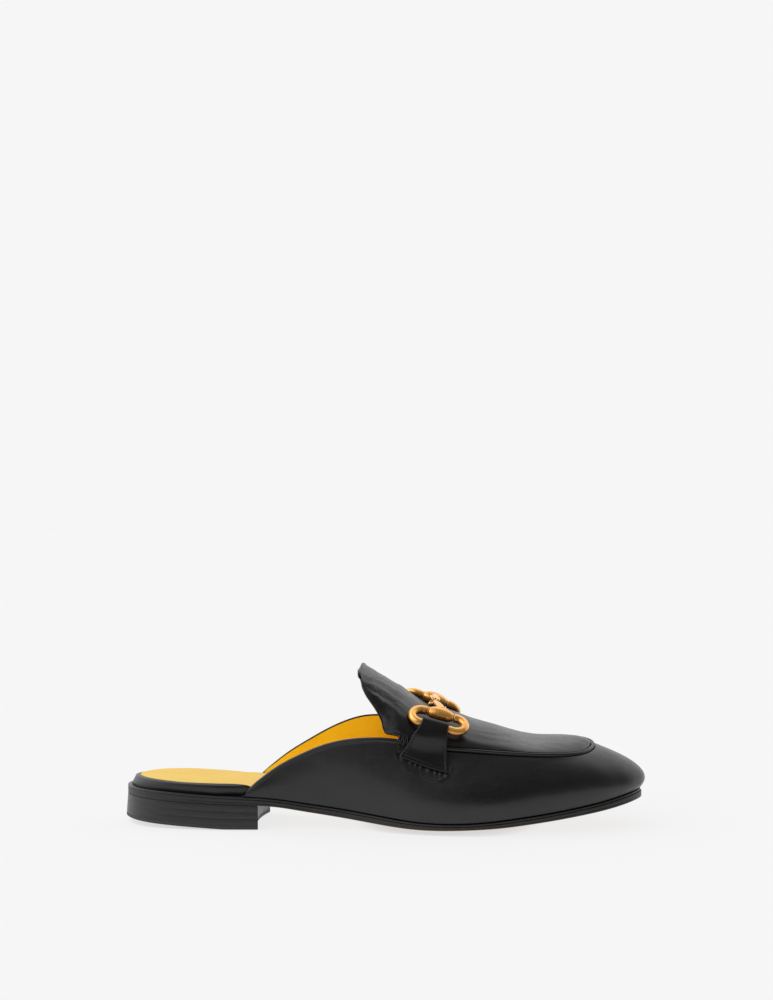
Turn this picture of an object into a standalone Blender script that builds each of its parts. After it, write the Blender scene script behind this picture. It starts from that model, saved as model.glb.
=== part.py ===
"""Backless loafer with a moccasin seam, saddle tabs and a plain snaffle bit: the right shoe of a pair.

Lengths in the tables are millimetres in the shoe's own frame: x runs from the heel towards the toe, y is
negative on the lateral side and positive on the medial side, z is the height above the floor. Objects are
placed in metres, with the origin on the floor under the middle of the heel's tread.
"""
import math

import bmesh
import bpy
import numpy as np

MM = 0.001
HEEL_TREAD_X = 55.0          # station of the origin, on the flat of the heel's tread

GAP = 0.3                    # clearance between curved pieces that touch on the shoe
GLUE_LINE = 0.05             # clearance between flat faces

WALL = 1.8                   # upper leather and its lining
FOOT_INSET = 1.2             # the upper stands this far inside the outsole's edge
RIDGE_HALF_WIDTH = 1.25      # raised moccasin seam
RIDGE_HEIGHT = 1.1

MIDSOLE = 1.1
INSOLE_HEEL = 3.9
INSOLE_FOREFOOT = 2.1
SOCK = 0.8
TOP_PIECE = 1.9
HEEL_LIFTS = 3
HEEL_BREAST_X = 67.5
HEEL_BREAST_HOLLOW = 3.0
HEEL_FLARE = 0.8             # the heel's back stands out this much more at the floor
TREAD_FLAT_X = 50.0          # behind this station the heel's tread rises to its back
TREAD_RISE = 3.0

RING_LENGTH = 31.2           # snaffle ring, outside
RING_BAR_SPACING = 10.0      # between the middles of its two long bars
RING_WIRE = 4.4
RING_PIN = 2.6               # the wire is thinner where it runs through the barrel
RING_SHOULDER = 0.5          # length over which it grows from the one to the other
BARREL_LENGTH = 13.4
BARREL_DIAMETER = 7.2
BARREL_NECK = 4.3            # diameter of the barrel's ends
COLLAR_LENGTH = 1.5
BIT_HEIGHT = 4.1             # middle of the rings above the skin
ARM_DIAMETER = 5.0           # at the barrel
ARM_NECK = 2.6               # at the eye
ARM_ROOT_RISE = 2.2          # how far the arm keeps to its first direction
EYE_RADIUS = 2.6             # middle of the eye's wire
EYE_WIRE = 1.9

TAB_THICKNESS = 1.2
TAB_TAIL_REACH = 2.8         # how far above the seam the tucked end stops
TAB_STANDOFF = 4.5           # how far below the ring's lower bar the strap starts to near the skin

# Outsole's outline seen from below, heel back to toe tip.
PLAN = """
 x      lateral  medial
-2.4      0.0      0.0
 1.0    -11.5     11.5
 9.0    -20.5     20.5
21.0    -25.8     25.6
36.0    -28.0     27.9
52.0    -28.3     27.5
68.0    -27.3     25.2
84.0    -25.9     22.4
99.0    -25.8     21.0
115.0   -28.3     21.8
130.0   -32.0     25.2
145.0   -36.0     29.9
160.0   -38.8     34.4
174.0   -39.5     37.8
188.0   -38.3     39.0
202.0   -35.2     37.7
216.0   -31.2     34.9
229.0   -25.9     30.8
240.0   -20.1     26.1
249.0   -13.2     20.7
255.9    -5.4     13.8
259.2     4.2      4.2
"""

# Side view of the bottom: lower edge of the outsole, line on which the upper stands, and how far the middle
# of the outsole's underside and of its top hang below their edges.
BOTTOM = """
 x      under  feather  crown  dish
-5.0    14.54   18.7     0.0    0.0
20.0    13.63   18.3     0.0    0.0
45.0    12.71   16.9     0.0    0.0
66.0    11.94   15.8     0.0    0.0
76.0    11.2    14.9     0.2    0.2
89.0     9.2    13.0     0.8    0.5
101.0    7.5    11.4     1.3    0.9
115.0    5.7     9.6     1.9    1.3
130.0    3.8     7.6     2.6    1.7
145.0    2.5     5.9     3.0    1.9
160.0    2.4     5.4     3.1    2.0
175.0    3.0     5.9     3.1    2.0
190.0    4.0     7.3     2.9    1.8
205.0    5.6     9.1     2.4    1.4
220.0    7.5    11.2     1.8    0.9
235.0    9.6    13.6     1.1    0.4
248.0   11.8    16.1     0.5    0.1
262.0   14.9    19.1     0.2    0.0
"""

# Wall of the upper, one row for each section from the quarter's end to the toe tip: station of its foot, its
# top edge on either side, the angle below the horizontal at which the wall leaves that edge, and how far its
# lower handle stands out past the foot. From THROAT on, the top edge is the moccasin seam.
WALL_SECTIONS = """
foot     top   lat_y   lat_z   med_y   med_z  slope  belly
59.5    61.3   -26.7    18.4    25.0    18.4     90    0.2
64.0    65.5   -26.3    23.0    24.7    22.4     90    0.6
70.0    71.6   -25.9    27.9    24.0    27.6     90    1.0
77.0    78.5   -25.6    32.7    23.5    32.9     90    1.4
85.0    86.5   -25.6    37.0    23.6    38.0     89    1.8
94.0    95.5   -26.1    41.2    24.5    43.2     88    2.2
104.0  105.0   -27.1    44.5    25.7    47.7     87    2.7
115.5  116.0   -28.4    46.6    27.4    50.9     85    3.2
127.0  127.5   -29.5    47.3    28.5    51.4     83    3.7
139.0  138.8   -29.8    46.8    29.0    50.4     78    4.2
151.0  149.0   -29.4    44.2    29.2    47.4     72    4.6
163.5  160.0   -29.0    42.1    29.3    45.1     67    5.0
176.5  171.5   -28.4    41.1    29.3    43.5     62    5.2
189.5  183.0   -27.5    40.2    29.1    42.3     57    5.3
201.5  194.0   -26.5    39.4    28.5    41.3     51    5.3
213.0  205.0   -25.1    38.7    27.2    40.7     45    5.3
224.0  215.0   -22.9    38.3    24.8    40.7     38    5.5
234.0  223.0   -19.4    38.2    21.0    41.1     31    6.1
242.5  229.0   -14.2    38.5    16.0    41.3     25    7.2
250.5  233.0    -7.3    39.4     9.6    41.0     20    8.8
259.2  234.5     1.2    40.4     1.2    40.4     17   10.6
"""
THROAT = 9                   # row of the throat's corner

# Free edge of the tongue, from its tip to the throat's corner.
TONGUE_EDGE = """
 x      lat_y   lat_z   med_y   med_z
118.3   -16.0    77.2    17.0    78.0
118.7   -19.8    73.6    19.8    74.8
119.8   -22.1    69.9    22.1    71.3
121.9   -23.6    66.2    23.6    67.9
124.8   -24.7    62.2    24.7    64.2
127.6   -25.6    57.6    25.6    60.0
129.6   -26.6    52.8    26.4    55.8
131.0   -27.8    48.9    27.2    52.6
134.8   -29.0    48.1    28.2    51.9
"""

# Arches across the tongue and the plug, from the tongue's tip to the front of the plug, in step with the
# rows of the tongue's edge and then with those of the wall: station and height of the crest, and the angle
# at which the arch leaves its edges.
ARCHES = """
crest_x crest_z  lift
117.0    80.5     36
117.9    80.2     51
119.2    79.5     62
121.2    78.3     70
123.3    77.0     77
125.6    75.5     82
128.3    74.0     86
130.8    72.5     87
134.8    70.1     86
138.9    67.7     84
149.0    60.2     78
160.0    57.2     70
171.5    53.1     61
183.0    49.8     53
194.0    46.0     47
205.0    43.4     42
215.0    43.5     38
222.8    43.5     34
228.5    43.6     30
232.0    42.6     25
233.3    41.4     20
"""

# Bit and tabs on the lateral side (-1) and the medial side (1): station of the ring's middle, how far up the
# plug from the seam it lies, and its turn on the skin; how far towards the toe the barrel sits on the ring,
# and the angle from the ring's plane at which the arm starts; stations of the tab's two edges at its fold
# and at its stitched end, and how far below the seam the corners of that end lie.
TRIM = """
side bit_x bit_reach bit_turn slide arm_lean fold_back fold_front foot_back foot_front drop_back drop_front
  -1 157.0      12.6     -7.0   0.0       12     149.4      162.5     138.6      161.4       8.5       12.5
   1 150.6       9.8     -3.3   0.8      -12     143.4      155.6     135.8      155.7      11.0       13.0
"""

# Middle of a tab's strap from the standoff below the ring down to its stitched end: share of the way, how
# far its edges have spread from the fold's stations to the foot's, and its height over the lying end.
STRAP = """
way    spread  height
0.0      0.45     4.1
0.22     0.55     2.3
0.48     0.68     0.8
0.74     0.84     0.1
1.0      1.0      0.0
"""


# ---------------------------------------------------------------- curves and tables

def table(text):
    """Read a table of named columns, and return each column as an array."""
    lines = [line.split() for line in text.strip().splitlines()]
    rows = np.array([[float(word) for word in line] for line in lines[1:]])
    return {name: rows[:, column] for column, name in enumerate(lines[0])}


def spline(knots, values, closed=False):
    """Cubic spline through values at knots, as a function; natural at its ends, or closed in a loop."""
    knots = np.asarray(knots, float)
    values = np.asarray(values, float)
    count = len(knots)
    step = np.diff(knots)
    rise = np.diff(values) / step
    system = np.zeros((count, count))
    right = np.zeros(count)
    for k in range(1, count - 1):
        system[k, k - 1:k + 2] = step[k - 1], 2 * (step[k - 1] + step[k]), step[k]
        right[k] = 6 * (rise[k] - rise[k - 1])
    if closed:
        system[0, [0, 1, -2, -1]] = 2 * step[0], step[0], step[-1], 2 * step[-1]
        right[0] = 6 * (rise[0] - rise[-1])
        system[-1, [0, -1]] = 1, -1
    else:
        system[0, 0] = system[-1, -1] = 1
    bend = np.linalg.solve(system, right)

    def value(at):
        at = np.asarray(at, float)
        k = np.clip(np.searchsorted(knots, at, side="right") - 1, 0, count - 2)
        before = at - knots[k]
        after = knots[k + 1] - at
        cubic = (bend[k] * after ** 3 + bend[k + 1] * before ** 3) / (6 * step[k])
        low = (values[k] / step[k] - bend[k] * step[k] / 6) * after
        high = (values[k + 1] / step[k] - bend[k + 1] * step[k] / 6) * before
        return cubic + low + high
    return value


def smooth_step(value, low, high):
    share = np.clip((value - low) / (high - low), 0, 1)
    return share * share * (3 - 2 * share)


def unit(vectors):
    return vectors / np.linalg.norm(vectors, axis=-1, keepdims=True)


def bezier(p0, p1, p2, p3, share):
    share = np.asarray(share, float)[..., None]
    rest = 1 - share
    return rest ** 3 * p0 + 3 * rest ** 2 * share * p1 + 3 * rest * share ** 2 * p2 + share ** 3 * p3


# ---------------------------------------------------------------- outline of the sole

plan_table = table(PLAN)
outline_x = np.concatenate([plan_table["x"], plan_table["x"][-2::-1]])
outline_y = np.concatenate([plan_table["lateral"], plan_table["medial"][-2::-1]])
chords = np.hypot(np.diff(outline_x), np.diff(outline_y))
outline_knots = np.concatenate([[0.0], np.cumsum(chords)])
toe_knot = outline_knots[len(plan_table["x"]) - 1]
loop_length = outline_knots[-1]
loop_x = spline(outline_knots, outline_x, closed=True)
loop_y = spline(outline_knots, outline_y, closed=True)


def plan(share, inset=0.0):
    """Point of the outline: share 0 is the heel's back, 1/2 the toe tip, below 1/2 the lateral side."""
    share = np.asarray(share, float) % 1.0
    lateral = share * 2 * toe_knot
    medial = toe_knot + (share * 2 - 1) * (loop_length - toe_knot)
    at = np.where(share <= 0.5, lateral, medial)
    probe = 0.05
    tangent_x = loop_x((at + probe) % loop_length) - loop_x((at - probe) % loop_length)
    tangent_y = loop_y((at + probe) % loop_length) - loop_y((at - probe) % loop_length)
    length = np.hypot(tangent_x, tangent_y)
    outward = np.stack([tangent_y, -tangent_x], -1) / length[..., None]
    point = np.stack([loop_x(at), loop_y(at)], -1)
    return point - np.asarray(inset, float)[..., None] * outward, outward


fine_shares = np.linspace(0, 0.5, 800)
lateral_line = plan(fine_shares)[0]
medial_line = plan(1 - fine_shares)[0]


def share_at(station, side):
    """Share of the outline at a station, on the lateral side (-1) or the medial side (+1)."""
    line = lateral_line if side < 0 else medial_line
    share = np.interp(station, line[:, 0], fine_shares)
    return share if side < 0 else 1 - share


def across(x, y):
    """Place across the sole: -1 at its lateral edge, 0 in the middle, 1 at its medial edge."""
    lateral = np.interp(x, lateral_line[:, 0], lateral_line[:, 1])
    medial = np.interp(x, medial_line[:, 0], medial_line[:, 1])
    half = np.maximum((medial - lateral) / 2, 1.0)
    return np.clip((y - (medial + lateral) / 2) / half, -1, 1)


bottom_table = table(BOTTOM)
under_edge = spline(bottom_table["x"], bottom_table["under"])
feather = spline(bottom_table["x"], bottom_table["feather"])
crown = spline(bottom_table["x"], bottom_table["crown"])
dish = spline(bottom_table["x"], bottom_table["dish"])


def tread_height(x, y):
    """Underside of the outsole, with a flat at the ball where it meets the floor."""
    return np.maximum(under_edge(x) - crown(x) * (1 - across(x, y) ** 2), 0.0)


def seat_height(x, y):
    """Top of the midsole, on which upper and insole stand."""
    return feather(x) - dish(x) * (1 - across(x, y) ** 2)


# ---------------------------------------------------------------- meshes

def new_object(name, points, faces, finish, smooth_angle=35):
    """Make a closed object in metres from points in millimetres; points that coincide are joined."""
    mesh = bpy.data.meshes.new(name)
    placed = (np.asarray(points, float) - [HEEL_TREAD_X, 0, 0]) * MM
    mesh.from_pydata(placed.tolist(), [], [list(map(int, face)) for face in faces])
    work = bmesh.new()
    work.from_mesh(mesh)
    bmesh.ops.remove_doubles(work, verts=work.verts, dist=0.01 * MM)
    bmesh.ops.dissolve_degenerate(work, edges=work.edges, dist=0.001 * MM)
    bmesh.ops.recalc_face_normals(work, faces=work.faces)
    work.to_mesh(mesh)
    work.free()
    mesh.shade_smooth()
    mesh.set_sharp_from_angle(angle=math.radians(smooth_angle))
    mesh.materials.append(finish)
    thing = bpy.data.objects.new(name, mesh)
    bpy.context.scene.collection.objects.link(thing)
    return thing


def grid_faces(rows, columns, start=0, wrap=False):
    """Quads of a grid whose points are stored row by row; wrap joins the last column to the first."""
    faces = []
    for row in range(rows - 1):
        for column in range(columns if wrap else columns - 1):
            here = start + row * columns
            beside = (column + 1) % columns
            faces.append((here + column, here + columns + column, here + columns + beside, here + beside))
    return faces


def rim(grid):
    """Points round the edge of a grid, in order."""
    return np.concatenate([grid[:-1, 0], grid[-1, :-1], grid[:0:-1, -1], grid[0, :0:-1]])


def solid_between(name, low, high, finish, belts=(), smooth_angle=35):
    """Close two grids of points, alike in rows and columns, into one solid; belts are loops between rims."""
    rows, columns = low.shape[:2]
    faces = grid_faces(rows, columns) + grid_faces(rows, columns, rows * columns)
    loops = [rim(low), *belts, rim(high)]
    start = 2 * rows * columns
    faces += grid_faces(len(loops), len(loops[0]), start, wrap=True)
    points = np.concatenate([low.reshape(-1, 3), high.reshape(-1, 3), *loops])
    return new_object(name, points, faces, finish, smooth_angle)


def material(name, colour, roughness, metallic=0.0):
    finish = bpy.data.materials.new(name)
    finish.use_nodes = True
    shader = finish.node_tree.nodes["Principled BSDF"]
    shader.inputs["Base Color"].default_value = (*colour, 1.0)
    shader.inputs["Roughness"].default_value = roughness
    shader.inputs["Metallic"].default_value = metallic
    return finish


# ---------------------------------------------------------------- bottom of the shoe

def leaf(rungs, columns, inset, height):
    """Grid over the outline: rungs run from the lateral to the medial edge, and close up at both ends."""
    shares = 0.25 * (1 - np.cos(np.pi * np.arange(rungs + 1) / rungs))
    lateral = plan(shares)[0]
    medial = plan(1 - shares)[0]
    lateral = plan(shares, inset(lateral[:, 0]))[0]
    medial = plan(1 - shares, inset(medial[:, 0]))[0]
    blend = np.linspace(0, 1, columns + 1)[None, :, None]
    flat = lateral[:, None] * (1 - blend) + medial[:, None] * blend
    return np.concatenate([flat, height(flat[..., 0], flat[..., 1])[..., None]], -1)


def layer(name, finish, inset, low, high, soften=0.0, rungs=30, columns=4):
    """A flat piece of the bottom between two heights; soften rounds its two edges."""
    if not soften:
        sheets = [leaf(rungs, columns, inset, height) for height in (low, high)]
        return solid_between(name, *sheets, finish)
    tucked = lambda x: inset(x) + soften
    raised = lambda x, y: low(x, y) + soften
    lowered = lambda x, y: high(x, y) - soften
    belts = [rim(leaf(rungs, columns, inset, raised)), rim(leaf(rungs, columns, inset, lowered))]
    return solid_between(name, leaf(rungs, columns, tucked, low), leaf(rungs, columns, tucked, high),
                         finish, belts)


def insole_inset(x):
    """The insole shows its edge at the heel, and lies inside the upper's wall from the waist on."""
    inside_wall = FOOT_INSET + WALL + 0.4
    return 1.9 + (inside_wall - 1.9) * smooth_step(x, 46, 57)


def insole_top(x):
    return GAP + INSOLE_HEEL + (INSOLE_FOREFOOT - INSOLE_HEEL) * smooth_step(x, 75, 130)


def make_bottom(finishes):
    """Outsole, midsole, insole and sock, one on the other."""
    outsole_top = lambda x, y: seat_height(x, y) - MIDSOLE - GAP
    layer("outsole", finishes["sole_leather"], lambda x: 0 * x, tread_height, outsole_top,
          soften=0.5, columns=6)
    layer("midsole", finishes["black_edge"], lambda x: 0.55 * smooth_step(x, 40, 80),
          lambda x, y: seat_height(x, y) - MIDSOLE, seat_height)
    layer("insole", finishes["black_leather"], insole_inset,
          lambda x, y: seat_height(x, y) + GAP, lambda x, y: seat_height(x, y) + insole_top(x), soften=0.4)
    sock_low = lambda x, y: seat_height(x, y) + insole_top(x) + 0.15
    layer("sock", finishes["yellow_leather"], lambda x: insole_inset(x) + 1.1 - 0.8 * smooth_step(x, 46, 57),
          sock_low, lambda x, y: sock_low(x, y) + SOCK)


def heel_grid(inset, height, rungs=9, columns=5):
    """Grid over the heel: from its back to the breast, whose middle is hollow."""
    breast = {side: share_at(HEEL_BREAST_X, side) for side in (-1, 1)}
    turn = np.linspace(0, math.pi / 1.6, rungs + 1)
    run = (1 - np.cos(turn)) / (1 - math.cos(turn[-1]))
    blend = np.linspace(0, 1, columns + 1)
    lateral_share = run * breast[-1]
    medial_share = 1 - run * (1 - breast[1])
    lateral = plan(lateral_share, inset(plan(lateral_share)[0][:, 0]))[0]
    medial = plan(medial_share, inset(plan(medial_share)[0][:, 0]))[0]
    flat = lateral[:, None] * (1 - blend[None, :, None]) + medial[:, None] * blend[None, :, None]
    hollow = HEEL_BREAST_HOLLOW * run[:, None] ** 3 * (1 - (2 * blend[None, :] - 1) ** 2)
    flat[..., 0] -= hollow
    return np.concatenate([flat, height(flat[..., 0])[..., None]], -1)


def make_heel(finishes):
    """Stacked lifts under the outsole's seat, and a top piece whose tread is flat near the breast."""
    slope = (under_edge(66.0) - under_edge(20.0)) / 46.0
    tread = lambda x: TREAD_RISE * np.maximum(TREAD_FLAT_X - x, 0) / (TREAD_FLAT_X + 3)
    seat = lambda x: under_edge(20.0) + slope * (x - 20.0) - GAP
    piece_top = lambda x: tread(x) * 0.9 + TOP_PIECE
    levels = [lambda x, k=k: piece_top(x) + (seat(x) - piece_top(x)) * k / HEEL_LIFTS
              for k in range(HEEL_LIFTS + 1)]

    def flared(share):
        return lambda x: -HEEL_FLARE * share * smooth_step(x, 34, 4)

    solid_between("heel_top_piece", heel_grid(flared(1.0), tread), heel_grid(flared(0.9), piece_top),
                  finishes["heel_rubber"])
    for k in range(HEEL_LIFTS):
        lower = 0.9 * (1 - k / HEEL_LIFTS)
        upper = 0.9 * (1 - (k + 1) / HEEL_LIFTS)
        solid_between(f"heel_lift_{k + 1}",
                      heel_grid(flared(lower), lambda x, k=k: levels[k](x) + GLUE_LINE),
                      heel_grid(flared(upper), levels[k + 1]), finishes["black_edge"])


# ---------------------------------------------------------------- upper

wall_table = table(WALL_SECTIONS)
LAST_ROW = len(wall_table["foot"]) - 1
tongue_table = table(TONGUE_EDGE)
arch_table = table(ARCHES)
UP = np.array([0.0, 0.0, 1.0])


def both_sides(lateral, medial):
    """Spline over the sections from the lateral quarter round the toe to the medial quarter."""
    values = np.concatenate([lateral, medial[-2::-1]])
    return spline(np.arange(len(values)), values)


foot_share = both_sides(*[share_at(wall_table["foot"], side) for side in (-1, 1)])
top_x = both_sides(wall_table["top"], wall_table["top"])
top_y = both_sides(wall_table["lat_y"], wall_table["med_y"])
top_z = both_sides(wall_table["lat_z"], wall_table["med_z"])
wall_slope = both_sides(wall_table["slope"], wall_table["slope"])
wall_belly = both_sides(wall_table["belly"], wall_table["belly"])
arch_row = np.arange(LAST_ROW + 1)
crest_x = spline(arch_row, arch_table["crest_x"])
crest_z = spline(arch_row, arch_table["crest_z"])
arch_lift = spline(arch_row, arch_table["lift"])


def wall_foot(at):
    """Point where the wall stands on the midsole, at a place along the sections, and its outward way."""
    foot, outward = plan(foot_share(at), FOOT_INSET)
    foot = np.concatenate([foot, (seat_height(foot[..., 0], foot[..., 1]) + GAP)[..., None]], -1)
    return foot, np.concatenate([outward, np.zeros(outward.shape[:-1] + (1,))], -1)


def seam_middle(at):
    """Top edge of the wall; from the throat on, the middle of the raised seam."""
    return np.stack([top_x(at), top_y(at), top_z(at)], -1)


def seam_half_width(at):
    """Half the width of the seam, which tapers out behind the throat's corner."""
    row = np.minimum(at, 2 * LAST_ROW - at)
    width = RIDGE_HALF_WIDTH * (0.3 + 0.7 * smooth_step(row, THROAT, THROAT + 1.2))
    return (width * smooth_step(row, THROAT - 1.0, THROAT))[..., None]


def seam_away(at):
    """Level direction from the seam towards the outside of the shoe."""
    foot, outward = wall_foot(at)
    level = foot - seam_middle(at)
    level[..., 2] = 0
    return unit(level + 5.0 * outward)


def down_wall(at):
    slope = np.radians(wall_slope(at))[..., None]
    return seam_away(at) * np.cos(slope) - UP * np.sin(slope)


def up_plug(at):
    row = np.minimum(at, 2 * LAST_ROW - at)
    lift = np.radians(arch_lift(row))[..., None]
    return -seam_away(at) * np.cos(lift) + UP * np.sin(lift)


def wall_point(at, share):
    """Point of the wall's outer face, from its foot (share 0) to its top edge (share 1)."""
    at = np.asarray(at, float)
    foot, outward = wall_foot(at)
    down = down_wall(at)
    edge = seam_middle(at) + seam_half_width(at) * down
    height = (edge - foot)[..., 2:3]
    reach = np.linalg.norm(edge - foot, axis=-1, keepdims=True)
    low_handle = foot + outward * wall_belly(at)[..., None] + UP * height * 0.42
    high_handle = edge + down * reach * 0.42
    return bezier(foot, low_handle, high_handle, edge, share)


def plug_edge(at):
    """Edge of the plug, on the inner side of the raised seam."""
    at = np.asarray(at, float)
    return seam_middle(at) + seam_half_width(at) * up_plug(at)


tongue_rows = np.arange(THROAT + 1)
throat_edges = {-1: plug_edge(np.array(float(THROAT))), 1: plug_edge(np.array(2.0 * LAST_ROW - THROAT))}
tongue_edge = {}
for side, y_name, z_name in ((-1, "lat_y", "lat_z"), (1, "med_y", "med_z")):
    columns = (tongue_table["x"], tongue_table[y_name], tongue_table[z_name])
    tongue_edge[side] = [spline(tongue_rows, np.append(column, end))
                         for column, end in zip(columns, throat_edges[side])]


def arch_edge(row, side):
    """End of an arch: on the tongue's free edge up to the throat, then on the plug's edge."""
    free = np.stack([curve(np.minimum(row, THROAT)) for curve in tongue_edge[side]], -1)
    at = np.maximum(row, THROAT)
    sewn = plug_edge(at if side < 0 else 2 * LAST_ROW - at)
    return np.where((row < THROAT)[..., None], free, sewn)


def arch_point(row, share):
    """Point of the tongue and plug: share runs over the arch from its lateral to its medial end."""
    row, share = np.broadcast_arrays(np.asarray(row, float), np.asarray(share, float))
    ends = {side: arch_edge(row, side) for side in (-1, 1)}
    middle = (ends[-1] + ends[1]) / 2
    crest = np.stack([crest_x(row), middle[..., 1], crest_z(row)], -1)
    crest[..., 0] += (middle[..., 0] - crest_x(row)) * smooth_step(row, THROAT, THROAT + 1)
    chord = ends[1] - ends[-1]
    level = np.zeros_like(chord)
    level[..., 1:] = chord[..., 1:]
    level = unit(level + 1e-6 * np.array([0, 1.0, 0]))
    rise_way = np.stack([np.zeros_like(row), -level[..., 2], level[..., 1]], -1)
    rise = ((crest - middle) * rise_way).sum(-1)
    half = np.linalg.norm(chord, axis=-1) / 2
    run = np.minimum(rise / np.tan(np.radians(arch_lift(row))), 0.9 * half)
    result = np.zeros(row.shape + (3,))
    for side in (-1, 1):
        end = ends[side]
        corner = end + rise_way * rise[..., None] - side * level * run[..., None]
        corner[..., 0] = end[..., 0]
        top_corner = corner.copy()
        top_corner[..., 0] = crest[..., 0]
        part = bezier(end, end + 0.6 * (corner - end), crest + 0.6 * (top_corner - crest), crest,
                      2 * (share if side < 0 else 1 - share))
        chosen = (share <= 0.5) if side < 0 else (share > 0.5)
        result = np.where(chosen[..., None], part, result)
    return result


def upper_skin(steps, wall_rows, arch_columns):
    """Points, faces and seam heights of the upper's outer face, before the seam is raised."""
    sections = np.linspace(0, 2 * LAST_ROW, 2 * LAST_ROW * steps + 1)
    shares = np.linspace(0, 1, wall_rows + 1)
    wall = wall_point(sections[:, None], shares[None, :])
    sewn = sections[(sections >= THROAT) & (sections <= 2 * LAST_ROW - THROAT)]
    middle = seam_middle(sewn)
    half = seam_half_width(sewn)
    ridge = np.stack([middle + half * down_wall(sewn), middle + 0.5 * half * down_wall(sewn),
                      middle + 0.5 * half * up_plug(sewn), middle + half * up_plug(sewn)], 1)
    rows = np.linspace(0, LAST_ROW, LAST_ROW * steps + 1)
    arches = arch_point(rows[:, None], np.linspace(0, 1, arch_columns + 1)[None, :])
    points = np.concatenate([wall.reshape(-1, 3), ridge.reshape(-1, 3), arches.reshape(-1, 3)])
    faces = grid_faces(*wall.shape[:2])
    faces += grid_faces(*ridge.shape[:2], start=wall.size // 3)
    faces += grid_faces(*arches.shape[:2], start=(wall.size + ridge.size) // 3)
    height = np.zeros(len(points))
    raised = np.zeros(ridge.shape[:2])
    raised[:, 1:3] = RIDGE_HEIGHT * (half / RIDGE_HALF_WIDTH)
    height[wall.size // 3:(wall.size + ridge.size) // 3] = raised.ravel()
    return weld(points, faces, height)


def weld(points, faces, height):
    """Join points that coincide, and drop the faces and corners that this empties."""
    first, index = np.unique(np.round(points, 3), axis=0, return_index=True, return_inverse=True)[1:]
    index = index.ravel()
    kept = []
    for face in faces:
        corners = [index[corner] for corner in face]
        corners = [corner for place, corner in enumerate(corners) if corner != corners[place - 1]]
        if len(corners) > 2:
            kept.append(corners)
    return points[first], kept, height[first]


def skin_normals(points, faces):
    """Outward direction at each point of a skin, the mean over its faces."""
    normals = np.zeros_like(points)
    for face in faces:
        corners = points[face]
        area = sum(np.cross(corners[k] - corners[0], corners[k + 1] - corners[0])
                   for k in range(1, len(face) - 1))
        normals[face] += area
    return unit(normals)


def make_upper(finishes, steps=2, wall_rows=8, arch_columns=12):
    """One hollow shell: the skin with its raised seam outside, the skin set in by the wall inside."""
    points, faces, height = upper_skin(steps, wall_rows, arch_columns)
    normals = skin_normals(points, faces)
    outside = points + normals * height[:, None]
    inside = points - normals * WALL
    count = len(points)
    edges = {}
    for face in faces:
        for place, corner in enumerate(face):
            edges[(corner, face[(place + 1) % len(face)])] = True
    border = [edge for edge in edges if (edge[1], edge[0]) not in edges]
    closing = [(b, a, a + count, b + count) for a, b in border]
    inner = [[corner + count for corner in reversed(face)] for face in faces]
    return new_object("upper", np.concatenate([outside, inside]), [*faces, *inner, *closing],
                      finishes["black_leather"])


# ---------------------------------------------------------------- bit and tabs

trim_table = table(TRIM)


def trim(side, column):
    return trim_table[column][0 if side < 0 else 1]


def skin_path(side, station):
    """Points up the upper's skin at a station of the seam, and their distance above the seam."""
    row = np.interp(station, wall_table["top"], arch_row)
    at = row if side < 0 else 2 * LAST_ROW - row
    wall = wall_point(np.full(40, at), np.linspace(0, 1, 40))
    arch = arch_point(np.full(40, row), np.linspace(0, 0.5, 40) if side < 0 else np.linspace(1, 0.5, 40))
    points = np.concatenate([wall[:-1], arch])
    reach = np.concatenate([[0.0], np.cumsum(np.linalg.norm(np.diff(points, axis=0), axis=1))])
    return points, reach - (reach[38] + reach[39]) / 2


def skin_at(side, station, reach):
    points, reaches = skin_path(side, station)
    return np.array([np.interp(reach, reaches, points[:, axis]) for axis in range(3)])


def skin_frame(side, station, reach):
    """Place on the skin, with its directions towards the toe, up the arch, and outward."""
    place = skin_at(side, station, reach)
    forward = unit(skin_at(side, station + 2, reach) - skin_at(side, station - 2, reach))
    upward = skin_at(side, station, reach + 1.5) - skin_at(side, station, reach - 1.5)
    outward = unit(np.cross(upward, forward) * side)
    return place, forward, unit(np.cross(forward, outward) * side), outward


def tube(path, radii, across, segments, closed=False):
    """Points and faces of a round tube along a path; across holds a direction square to each step."""
    path = np.asarray(path, float)
    count = len(path)
    if closed:
        along = unit(np.roll(path, -1, axis=0) - np.roll(path, 1, axis=0))
    else:
        along = unit(np.gradient(path, axis=0))
    side = unit(np.cross(along, across))
    other = np.cross(side, along)
    turn = 2 * np.pi * np.arange(segments) / segments
    radii = np.broadcast_to(radii, count)[:, None, None]
    round_way = np.cos(turn)[None, :, None] * side[:, None] + np.sin(turn)[None, :, None] * other[:, None]
    points = (path[:, None] + radii * round_way).reshape(-1, 3)
    faces = grid_faces(count, segments, wrap=True)
    if closed:
        last = (count - 1) * segments
        faces += [(last + k, k, (k + 1) % segments, last + (k + 1) % segments) for k in range(segments)]
    else:
        faces += [range(segments), range(count * segments - 1, (count - 1) * segments - 1, -1)]
    return points, faces


def bit_frame(side):
    """Middle of a ring, with its directions towards the toe, up over the shoe, and out of its plane."""
    place, forward, upward, outward = skin_frame(side, trim(side, "bit_x"), trim(side, "bit_reach"))
    turn = math.radians(trim(side, "bit_turn"))
    turned = forward * math.cos(turn) + upward * math.sin(turn)
    return place + outward * BIT_HEIGHT, turned, upward * math.cos(turn) - forward * math.sin(turn), outward


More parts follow.
